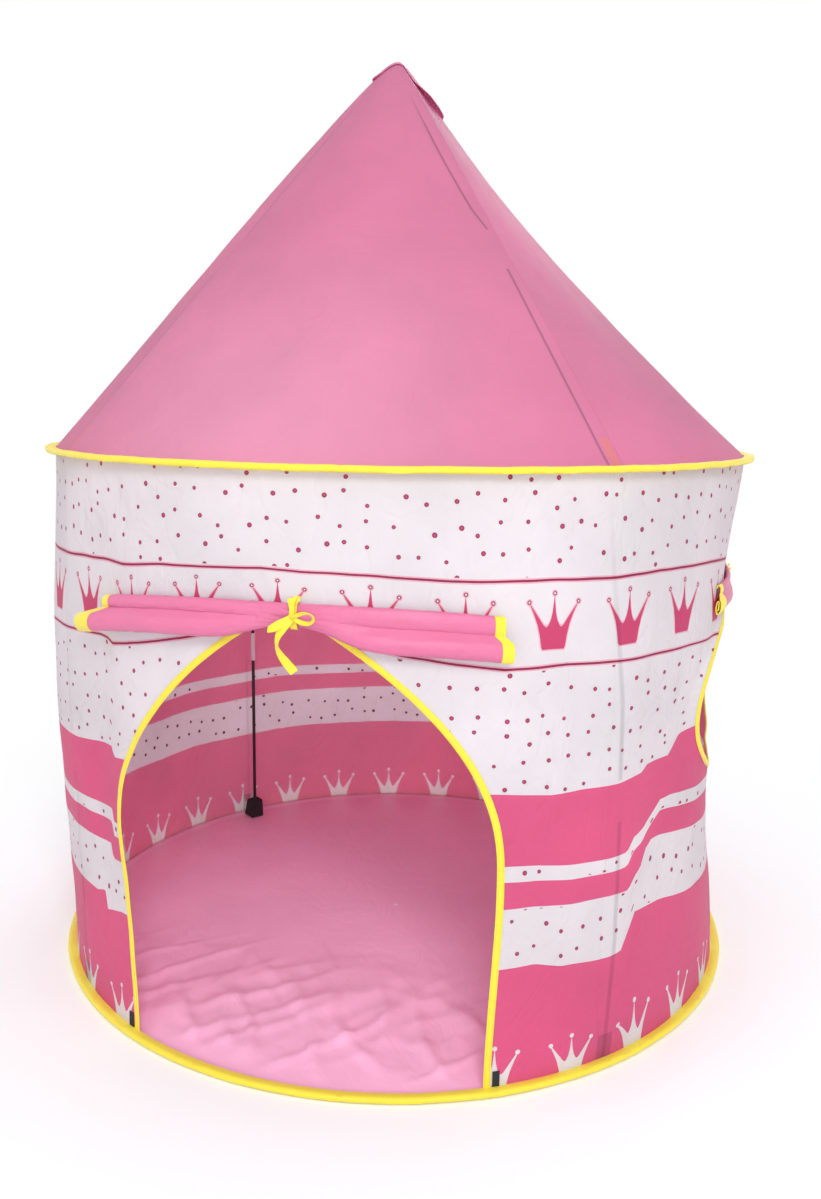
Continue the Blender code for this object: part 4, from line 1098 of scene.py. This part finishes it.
def edge_tape(name, azimuth, outline, closed, node):
    """Tape folded over the cut edge of an opening: front face, fold and back face."""
    half = 0.0013
    front = ((0.0, half * 0.7), (0.002, half), (EDGE_BAND - 0.002, half * 1.1))
    section = (*front, (EDGE_BAND, 0.0), *((inset, -out) for inset, out in reversed(front)))
    columns = len(outline) if closed else len(outline) - 1
    rows = len(section) - 1
    rings = [inset_outline(outline, inset, closed) for inset, _ in section]
    runs = [0.0]
    for index in range(columns):
        before, after = outline[index], outline[(index + 1) % len(outline)]
        runs.append(runs[-1] + math.dist(before, after))

    def place(column, row):
        across, height = rings[row][column % len(outline)]
        out = section[row][1] * (1 + 0.25 * wrinkle(runs[column], 0, 0.02, 31))
        return through_wall(azimuth, across, height, out - CLOTH / 2)

    def layout(column, row):
        return runs[column], section[row][0]

    piece = cloth_grid(name, columns, rows, place, layout, thickness=0.0005)
    return dressed(piece, EDGE_TAPE, "tent", "yellow_tape", node)


# Curtains rolled up above the door and the window


class Roll:
    """Where one rolled curtain lies. Seen from its end it has a fold of cloth above and the
    roll itself below; the tie draws both into one. Pairs are for its left and right side:
    azimuths of the roll's ends and of the fold's, how far the ends droop, how tall they are
    and how wide their tapes are. The knot is an azimuth, the top is the height there."""

    standoff = 0.0012  # from the wall
    pitch = 0.0035  # from layer to layer
    turns = 1.6
    fold_rows = 0.23  # share of the section that the fold takes

    def __init__(self, ends, fold_ends, knot, top, droops, talls, deep, end_bands, end_out,
                 seed):
        self.ends, self.fold_ends, self.knot, self.top = ends, fold_ends, knot, top
        self.droops, self.talls, self.deep = droops, talls, deep
        self.end_bands, self.end_out, self.seed = end_bands, end_out, seed

    def drawn(self, azimuth):
        """How much of the tie's pull is felt here, from 0 to 1."""
        aside = max(abs(azimuth - self.knot) - 1.0, 0)
        return math.exp(-((aside / 5.6) ** 2))

    def pinch(self, azimuth):
        return 1 - 0.42 * self.drawn(azimuth)

    def rightward(self, azimuth):
        return ease((azimuth - self.knot) / 16 + 0.5)

    def tall(self, azimuth):
        return self.talls[0] + (self.talls[1] - self.talls[0]) * self.rightward(azimuth)

    def top_height(self, azimuth):
        side = 0 if azimuth < self.knot else 1
        reach = abs(self.ends[side] - self.knot)
        return self.top - self.droops[side] * (abs(azimuth - self.knot) / reach) ** 2.3

    def halves(self, azimuth):
        pinch = self.pinch(azimuth)
        return self.deep / 2 * pinch, self.tall(azimuth) / 2 * pinch

    def section(self, azimuth, share):
        """Distance from the wall and height of the cloth's section, from its outer end in."""
        deep, tall = self.halves(azimuth)
        top = self.top_height(azimuth)
        fold = 0.42 + 0.08 * self.rightward(azimuth)
        # At the tie: one spiral of all the cloth
        inwards = self.pitch * self.turns * share * self.pinch(azimuth) + CLOTH
        turn = math.radians(125 - 360 * self.turns * share)
        tied = Vector(((deep - inwards) * math.cos(turn) + self.standoff + deep,
                       (tall - inwards) * math.sin(turn) + top - tall))
        # Away from it: a fold above and the roll below
        out = self.standoff
        if share < self.fold_rows:
            half_deep, half_tall = deep * 0.64, tall * fold
            angle = math.radians(125 - 180 * share / self.fold_rows)
            middle = top - half_tall
        else:
            half_deep, half_tall = deep, tall * (1 - fold)
            rolled = (share - self.fold_rows) / (1 - self.fold_rows)
            angle = math.radians(70 - (360 * self.turns - 55) * rolled)
            middle = top - 2 * tall + half_tall
            inwards = self.pitch * self.turns * rolled + CLOTH
            left_end = self.knot + 0.72 * (self.ends[0] - self.knot)
            out += self.end_out * ease((left_end - azimuth) / 9)
        # Creases, and pleats gathered by the tie
        u = round_wall(azimuth)
        gathered = math.exp(-(((azimuth - self.knot) / 6) ** 2))
        ripple = 0.0013 * noise.noise(Vector((u / 0.06, math.cos(angle), self.seed + share)))
        ripple += 0.0007 * noise.noise(Vector((u / 0.018, 2 * math.sin(angle), self.seed)))
        ripple += 0.0014 * gathered * math.sin(7 * turn + 3 * math.sin(u / 0.02))
        inwards = max(inwards + abs(ripple), CLOTH)
        loose = Vector(((half_deep - inwards) * math.cos(angle) + out + half_deep,
                        (half_tall - inwards) * math.sin(angle) + middle))
        tied -= Vector((math.cos(turn), math.sin(turn))) * abs(ripple)
        return loose.lerp(tied, self.drawn(azimuth))

    def point(self, azimuth, row, steps):
        if row < 2:
            height = self.top_height(azimuth) - self.tall(azimuth) / 8 + 0.003 * row
            out = 0.0026 + 0.0003 * row
        else:
            out, height = self.section(azimuth, (row - 2) / steps)
        return at(azimuth, wall_radius(azimuth, height) + out, height)

    def edge(self, side, share, inwards):
        """Azimuth of the roll's end, or of the inner edge of its tape, at this share."""
        if share > self.fold_rows:
            end, width = self.ends[side], self.end_bands[side]
        else:
            end, width = self.fold_ends[side], FOLD_END_BAND
        return end + (1 - 2 * side) * math.degrees(width / WALL_RADIUS) * inwards


def rolled(name, roll, first, last, columns, finish, body, slot, thickness, *nodes):
    """Rolled cloth between two sides, each given as (side, how far in)."""
    steps = 84
    rows = steps + 2

    def spot(column, row):
        share = max(row - 2, 0) / steps
        start, end = (roll.edge(side, share, inwards) for side, inwards in (first, last))
        return start + (end - start) * column / columns

    def place(column, row):
        return roll.point(spot(column, row), row, steps)

    def layout(column, row):
        return round_wall(spot(column, row)), row * 0.0023

    piece = cloth_grid(name, columns, rows, place, layout, thickness=thickness)
    return dressed(piece, finish, body, slot, *nodes)


def ribbon(name, course, sideways, width=0.0085, thickness=0.0007, shares=None):
    """Flat ribbon along smooth points, its width set by the direction given at each and drawn
    in by the shares."""
    spots, turns, widths, runs = [], [], [], [0.0]
    shares = shares or [1] * len(course)
    last = len(course) - 1
    for index in range(last):
        near = [course[max(index - 1, 0)], course[index], course[index + 1],
                course[min(index + 2, last)]]
        for step in range(6):
            t = step / 6
            spots.append(0.5 * (
                2 * near[1] + (near[2] - near[0]) * t
                + (2 * near[0] - 5 * near[1] + 4 * near[2] - near[3]) * t**2
                + (3 * near[1] - near[0] - 3 * near[2] + near[3]) * t**3))
            turns.append(sideways[index].lerp(sideways[index + 1], t).normalized())
            widths.append(width * (shares[index] * (1 - t) + shares[index + 1] * t))
    spots.append(course[-1])
    turns.append(sideways[-1])
    widths.append(width * shares[-1])
    for before, after in zip(spots, spots[1:]):
        runs.append(runs[-1] + (after - before).length)
    columns, rows = len(spots) - 1, 4

    def place(column, row):
        return spots[column] + turns[column] * widths[column] * (row / rows - 0.5)

    def layout(column, row):
        return runs[column], width * row / rows

    return cloth_grid(name, columns, rows, place, layout, thickness=thickness, offset=0)


def tie_round(name, roll):
    """Ribbon sewn over the roll's seam, drawn round the roll and back to the wall."""
    deep, tall = roll.halves(roll.knot)
    middle = roll.top_height(roll.knot) - tall
    course = [(0.0007, middle + tall + 0.006), (0.0024, middle + tall + 0.002)]
    for step in range(17):
        angle = math.radians(105 - 285 * step / 16)
        out = roll.standoff + deep + (deep + 0.0009) * math.cos(angle)
        course.append((max(out, 0.0016), middle + (tall + 0.0009) * math.sin(angle)))
    course.append((0.0016, middle + 0.006))
    points = [at(roll.knot, wall_radius(roll.knot, height) + out, height)
              for out, height in course]
    return ribbon(name, points, [tangent(roll.knot)] * len(points))


def bow(name, roll, body, size=1.0):
    """The knot, an upright loop above it, a loop to the right and two tails."""
    deep, tall = roll.halves(roll.knot)
    middle = roll.top_height(roll.knot) - tall
    out = roll.standoff + 2 * deep + 0.0013
    turn = Matrix((tangent(roll.knot), Vector((0, 0, 1)), outward(roll.knot))).transposed()
    centre = at(roll.knot, wall_radius(roll.knot, middle) + out, middle)

    def course(*places):
        return [centre + turn @ Vector(place) * size / 1000 for place in places]

    def sides(*ways):
        return [(turn @ Vector(way)).normalized() for way in ways]

    bpy.ops.mesh.primitive_uv_sphere_add(segments=24, ring_count=14, radius=1)
    knot = just_added(name + "_knot")
    for vertex in knot.data.vertices:
        x, y, z = vertex.co
        fold = 1 + 0.14 * math.sin(5 * math.atan2(z, y) + 2 * x)
        vertex.co = course((5.0 * x - 0.6 * y, 4.6 * y * fold, 3.0 * z * fold + 1.6))[0]
    knot.data.uv_layers[0].name = "layout"
    smooth(knot)
    pieces = [
        knot,
        ribbon(name + "_upright_loop", course(
            (0, 2, 2), (0.4, 8, 3.4), (0, 13, 3.4), (0.4, 18, 4.2), (0.8, 21.5, 2.6),
            (0.8, 19, 0.6), (0.2, 13.5, 0.4), (0, 9, 1)),
            sides(*[(1, 0.05, 0.1)] * 8), shares=(0.6, 0.7, 0.75, 1.1, 1.15, 1.1, 0.7, 0.6)),
        ribbon(name + "_right_loop", course(
            (0, 0, 3), (8, 3.6, 5), (16.5, 6, 5.6), (23.5, 4, 5), (25.4, -1, 4.2),
            (21, -5.6, 3.4), (11.5, -5.4, 3.2), (1, -1, 2)),
            sides((0, 1, 0.6), (-0.3, 0.9, 0.8), (-0.2, 0.6, 1), (0.5, 0.4, 1), (1, 0, 1),
                  (0.3, -0.5, 1), (-0.2, -0.7, 0.9), (-0.1, -0.9, 0.6)),
            shares=(0.5, 0.7, 0.8, 0.8, 0.8, 0.8, 0.7, 0.5)),
        ribbon(name + "_short_tail", course(
            (0, 0, 2.4), (-7.5, -4.4, 4.6), (-15, -9, 5.6), (-21.5, -12.6, 5.2),
            (-28, -15.2, 4)),
            sides((-0.3, 1, 0.1), (-0.5, 1, 0.1), (-0.55, 1, 0), (-0.4, 1, -0.1),
                  (0.1, 1, -0.2)), shares=(0.7, 1.0, 1.2, 1.1, 0.75)),
        ribbon(name + "_long_tail", course(
            (0, -1, 2.0), (-6, -8, 3.8), (-12, -15.5, 4.4), (-16.6, -24, 3.4),
            (-18.4, -33, 1.8), (-15.6, -42, 0.4), (-9.6, -51, -0.6), (-2, -60, -1.2),
            (1.4, -64, -1.2)),
            sides((1, -0.8, 0), (1, -0.75, 0.1), (1, -0.5, 0.2), (1, -0.25, 0.6),
                  (0.8, 0.1, 0.9), (0.9, 0.35, 0.4), (1, 0.6, 0.1), (1, 0.75, 0), (1, 0.75, 0)),
            shares=(0.7, 1.05, 1.15, 1.0, 0.9, 1.05, 1.25, 1.3, 1.2)),
    ]
    for piece in pieces:
        dressed(piece, YELLOW_RIBBON, body, "yellow_tape")
    return pieces


def curtain(side, roll, body):
    """The rolled cloth with a tape bound round each of its ends."""
    width = round_wall(roll.ends[1] - roll.ends[0])
    middle = rolled(side + "_curtain_roll", roll, (0, 1), (1, 1), round(width / 0.0035),
                    CURTAIN_TAFFETA, body, "roof_cloth", CLOTH, side + "_curtain")
    for name, first, last in (("left", (0, 0), (0, 1)), ("right", (1, 1), (1, 0))):
        node = (side + "_curtain_edging_" + name,) if side == "door" else ()
        rolled(side + "_curtain_end_" + name, roll, first, last, 6, YELLOW_TAPE,
                           body, "yellow_tape", 0.0012, *node)


# Poles


def sleeve(name, start, end, node):
    """Straight tube that takes the end of a rod from either side."""
    piece = round_bar(name, start, end, SLEEVE, 0.0006)
    run = (end - start).normalized()
    hollow(piece, start - run * DRILL_OVERRUN, start + run * SLEEVE_SEAT)
    hollow(piece, end - run * SLEEVE_SEAT, end + run * DRILL_OVERRUN)
    return dressed(piece, WHITE_PLASTIC, "tent", "white_plastic", node)


def bent_sleeve(name, corner, down, up, node):
    """Elbow at the ring: a bent tube with a thicker lip at each mouth."""
    points = [corner + down * ELBOW_ARM, corner + down * ELBOW_STRAIGHT]
    for step in range(9):
        share = step / 8
        first = (corner + down * ELBOW_BEND).lerp(corner, share)
        second = corner.lerp(corner + up * ELBOW_BEND, share)
        points.append(first.lerp(second, share))
    points += [corner + up * ELBOW_STRAIGHT, corner + up * ELBOW_ARM]
    line = bpy.data.curves.new(name, "CURVE")
    line.dimensions = "3D"
    line.bevel_depth = SLEEVE / 2
    line.bevel_resolution = 6
    line.use_fill_caps = True
    run = line.splines.new("POLY")
    run.points.add(len(points) - 1)
    for spot, point in zip(run.points, points):
        spot.co = (*point, 1)
    piece = bpy.data.objects.new(name, line)
    bpy.context.scene.collection.objects.link(piece)
    only(piece)
    bpy.ops.object.convert(target="MESH")
    piece = weld(bpy.context.object)
    for way in (down, up):
        mouth = corner + way * ELBOW_ARM
        lip = round_bar("lip", mouth, mouth - way * 0.004, SLEEVE + 0.0012, 0.0004)
        combine(piece, "UNION", lip)
        hollow(piece, mouth + way * DRILL_OVERRUN, mouth - way * 0.024)
    return dressed(piece, WHITE_PLASTIC, "tent", "white_plastic", node)


def hub(spokes):
    """Disc under the tip with an arm for each spoke, given as its end and its direction."""
    middle = lean(HUB_HEIGHT) + Vector((0, 0, HUB_HEIGHT))
    half = Vector((0, 0, HUB_HALF_HEIGHT))
    piece = round_bar("tip_hub", middle - half, middle + half, HUB_DIAMETER, 0.0025, 48)
    for end, run in spokes:
        arm = round_bar("arm", end - run * HUB_ARM, end + run * HUB_ARM_ROOT, SLEEVE, 0.0006)
        combine(piece, "UNION", arm)
    for end, run in spokes:
        hollow(piece, end - run * 0.040, end - run * 0.008)
    return dressed(piece, WHITE_PLASTIC, "tent", "white_plastic", "apex_hub")


def foot(name, azimuth, node):
    """Webbing pocket on the floor round the rod's end."""
    low, high = 0.0014, 0.037
    bpy.ops.mesh.primitive_cube_add(size=2)
    piece = just_added(name)
    turn = Matrix((tangent(azimuth), outward(azimuth), Vector((0, 0, 1)))).transposed()
    for vertex in piece.data.vertices:
        x, y, z = vertex.co
        wide = 0.0135 if z < 0 else 0.0118
        back = (0.020 if z < 0 else 0.0105) if y > 0 else -0.012
        vertex.co = turn @ Vector((x * wide, POLE_CIRCLE + back, low if z < 0 else high))
    soften(piece, 0.0028, 4, 30)
    hollow(piece, at(azimuth, POLE_CIRCLE, 0.0036), at(azimuth, POLE_CIRCLE, 0.045),
           2 * ROD_PLAY)
    return dressed(piece, BLACK_WEB, "tent", "black_webbing", node)


def ring_tie(name, azimuth, node):
    """Tape looped round the elbow's lower arm and sewn to the wall."""
    height = ELBOW_HEIGHT - ELBOW_STRAIGHT
    reach = WALL_RADIUS - CLOTH - 0.0008 - POLE_CIRCLE
    course = [(0.0009, reach), (0.0009, 0.011)]
    for step in range(13):
        angle = math.radians(78 - 336 * step / 12)
        course.append((0.0057 * math.cos(angle), 0.0057 * math.sin(angle)))
    course += [(-0.0009, 0.011), (-0.0009, reach)]
    points = [at(azimuth, POLE_CIRCLE + out, height) + tangent(azimuth) * aside
              for aside, out in course]
    piece = ribbon(name, points, [Vector((0, 0, 1))] * len(points), width=0.010)
    return dressed(piece, YELLOW_RIBBON, "tent", "yellow_tape", node)


def pole(name, azimuth):
    """One whole pole from its foot to its end in the hub; gives that end and its direction."""
    corner = at(azimuth, POLE_CIRCLE, ELBOW_HEIGHT)
    end = lean(HUB_HEIGHT) + at(azimuth, HUB_REACH, HUB_HEIGHT)
    rise, run = Vector((0, 0, 1)), (end - corner).normalized()
    wall_low = at(azimuth, POLE_CIRCLE, 0).lerp(corner, WALL_SLEEVE_SHARE)
    roof_low = corner.lerp(end, ROOF_SLEEVE_SHARE)
    for part, low, way, first, last in (
        ("wall", wall_low, rise, at(azimuth, POLE_CIRCLE, 0.004), corner - rise * ELBOW_SEAT),
        ("roof", roof_low, run, corner + run * ELBOW_SEAT, end - run * HUB_SEAT),
    ):
        high = low + way * SLEEVE_LENGTH
        for place, start, stop in (("lower", first, low + way * SLEEVE_SEAT),
                                   ("upper", high - way * SLEEVE_SEAT, last)):
            rod = round_bar(f"{part}_rod_{place}_{name}", start, stop, ROD, 0.0008)
            dressed(rod, BLACK_ROD, "tent", "black_rod", f"{part}_pole_{place}_{name}")
        sleeve(f"{part}_sleeve_{name}", low, high, f"{part}_pole_sleeve_{name}")
    bent_sleeve("bent_sleeve_" + name, corner, -rise, run, "elbow_" + name)
    foot("foot_web_" + name, azimuth, "foot_pocket_" + name)
    ring_tie("ring_tie_" + name, azimuth, "pole_tie_" + name)
    return end, run


def door_tab(name, side, node):
    """Black tab sewn to the wall beside the door's foot."""
    middle = side * (DOOR_FOOT_HALF_WIDTH + 0.006)
    low, high = 0.0066, 0.028

    def place(column, row):
        across = middle + 0.008 * (column / 8 - 0.5)
        azimuth = math.degrees(math.asin(across / WALL_RADIUS))
        height = low + (high - low) * row / 16
        out = 0.0013 + 0.0003 * wrinkle(across, height, 0.006, 71)
        return on_wall(azimuth, height, out)

    def layout(column, row):
        return 0.008 * column / 8, (high - low) * row / 16

    piece = cloth_grid(name, 8, 16, place, layout, thickness=0.0009)
    return dressed(piece, BLACK_WEB, "tent", "black_webbing", node)


# The camera at the photograph's place, the studio and its light

CAMERA_ANGLES = (0.605, 10.5, -0.84, 14.5)
CAMERA_PLACE = (0, -1.694, 0.838)
FILM_WIDTH = 36
FOCAL_PIXELS = 1080
PHOTO_HEIGHT_PIXELS = 1199
# Name, place in metres, size in metres and power in watts
LAMPS = (
    ("key_light", (1.1, -2.9, 2.6), 1.0, 56),
    ("left_light", (-1.9, -2.0, 3.2), 1.8, 11.5),
    ("door_light", (0.7, -2.8, 0.9), 0.8, 11),
    ("back_light", (0.2, 2.9, 2.8), 2.0, 26),
)
LAMP_AIM_HEIGHT = 0.6


def camera():
    yaw, pitch, roll, turn = (math.radians(angle) for angle in CAMERA_ANGLES)
    ahead = Vector((math.sin(yaw) * math.cos(pitch), math.cos(yaw) * math.cos(pitch),
                    -math.sin(pitch)))
    right = Vector((math.cos(yaw), -math.sin(yaw), 0))
    down = -right.cross(ahead)
    level = right * math.cos(roll) + down * math.sin(roll)
    sunk = down * math.cos(roll) - right * math.sin(roll)
    spin = Matrix.Rotation(turn, 4, "Z")
    axes = Matrix((level, -sunk, -ahead)).transposed().to_4x4()
    made = bpy.data.objects.new("photo_camera", bpy.data.cameras.new("photo_camera"))
    made.data.lens = FILM_WIDTH * FOCAL_PIXELS / PHOTO_HEIGHT_PIXELS
    made.data.sensor_width = FILM_WIDTH
    made.matrix_world = spin @ Matrix.Translation(CAMERA_PLACE) @ axes
    bpy.context.scene.collection.objects.link(made)
    bpy.context.scene.camera = made


def studio_floor():
    """Pale floor that takes the tent's shadow and fades into plain white further out."""
    bpy.ops.mesh.primitive_plane_add(size=16, location=(0, 0, -0.0006))
    floor = just_added("studio_floor")
    pale = Finish("studio_floor_paint", 0.9)
    pale.shader.inputs["Base Color"].default_value = (0.90, 0.915, 0.93, 1)
    pale.shader.inputs["Specular IOR Level"].default_value = 0.1
    away = pale.add("ShaderNodeVectorMath", {"operation": "LENGTH"}, Vector=pale.place())
    fade = pale.ramp(away.outputs["Value"], 0.60, 1.5, soft=True)
    path = pale.add("ShaderNodeLightPath", {}).outputs
    shown = pale.product(path["Is Camera Ray"], fade)
    seen = pale.any_of(path["Is Glossy Ray"], path["Is Transmission Ray"], shown)
    white = pale.add("ShaderNodeEmission", {}, Color=(1, 1, 1, 1), Strength=1.0)
    pale.end_in(pale.surface, seen, pale.shader.outputs[0], white.outputs[0])
    floor.data.materials.append(pale.material)


def studio_air():
    """Soft light from all sides, with plain white wherever it is seen itself."""
    world = bpy.data.worlds.new("studio_air")
    bpy.context.scene.world = world
    world.use_nodes = True
    air = Nodes(world.node_tree)
    light = air.tree.nodes["Background"]
    light.inputs["Color"].default_value = (1, 1, 1, 1)
    light.inputs["Strength"].default_value = 0.81
    backdrop = air.add("ShaderNodeBackground", {}, Color=(1, 1, 1, 1), Strength=1.0)
    path = air.add("ShaderNodeLightPath", {}).outputs
    air.end_in(air.tree.nodes["World Output"].inputs["Surface"],
               air.any_of(path["Is Camera Ray"], path["Is Glossy Ray"]),
               light.outputs[0], backdrop.outputs[0])


def lamps():
    for name, place, size, power in LAMPS:
        lamp = bpy.data.objects.new(name, bpy.data.lights.new(name, "AREA"))
        lamp.data.size = size
        lamp.data.energy = power
        lamp.location = place
        aim = Vector((0, 0, LAMP_AIM_HEIGHT)) - Vector(place)
        lamp.rotation_euler = aim.to_track_quat("-Z", "Y").to_euler()
        bpy.context.scene.collection.objects.link(lamp)


def cloth_and_tape():
    openings = {"front": (0, door_outline()), "right": (WINDOW_AZIMUTH, window_outline())}
    for side in SIDES:
        wall_panel(side, openings.get(side))
    for side in SIDES:
        roof_gore(side)
    tip_patch()
    ground_sheet()
    ring_tape("top_ring_tape", RING_HEIGHT, "top_ring_binding")
    ring_tape("bottom_ring_tape", BOTTOM_RING_HEIGHT, "bottom_ring_binding")
    edge_tape("door_edge_tape", *openings["front"], False, "door_binding")
    edge_tape("window_edge_tape", *openings["right"], True, "window_binding")
    for ring in ("top", "bottom"):
        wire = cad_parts[ring + "_ring_hoop"]
        wire.data.materials.clear()
        wire.data.materials.append(SPRING_WIRE)


def curtains():
    door_roll = Roll(
        ends=(-34.2, 28.6), fold_ends=(-29.9, 27.7), knot=1.5, top=0.6125,
        droops=(0.0235, 0.0140), talls=(0.0475, 0.0545), deep=0.024, end_bands=(0.030, 0.0135),
        end_out=0.010, seed=41)
    window_roll = Roll(
        ends=(69.3, 106.5), fold_ends=(70.1, 105.7), knot=91, top=0.606,
        droops=(0.004, 0.004), talls=(0.040, 0.040), deep=0.012, end_bands=(0.026, 0.015),
        end_out=0.0, seed=43)
    curtain("door", door_roll, "door_roll")
    curtain("window", window_roll, "window_roll")
    dressed(tie_round("door_tie_band", door_roll), YELLOW_RIBBON, "door_roll", "yellow_tape",
            "door_tie")
    bow("door_bow", door_roll, "door_roll")
    dressed(tie_round("window_tie_band", window_roll), YELLOW_RIBBON, "window_roll",
            "yellow_tape")
    bow("window_bow", window_roll, "window_roll", 0.5)


def build():
    camera()
    studio_floor()
    studio_air()
    lamps()
    bpy.context.scene.view_settings.view_transform = "Standard"
    cloth_and_tape()
    curtains()
    hub([pole(name, azimuth) for name, azimuth in POLES.items()])
    door_tab("door_foot_tab_left", -1, "door_tab_left")
    door_tab("door_foot_tab_right", 1, "door_tab_right")


build()
bpy.ops.object.select_all(action="DESELECT")
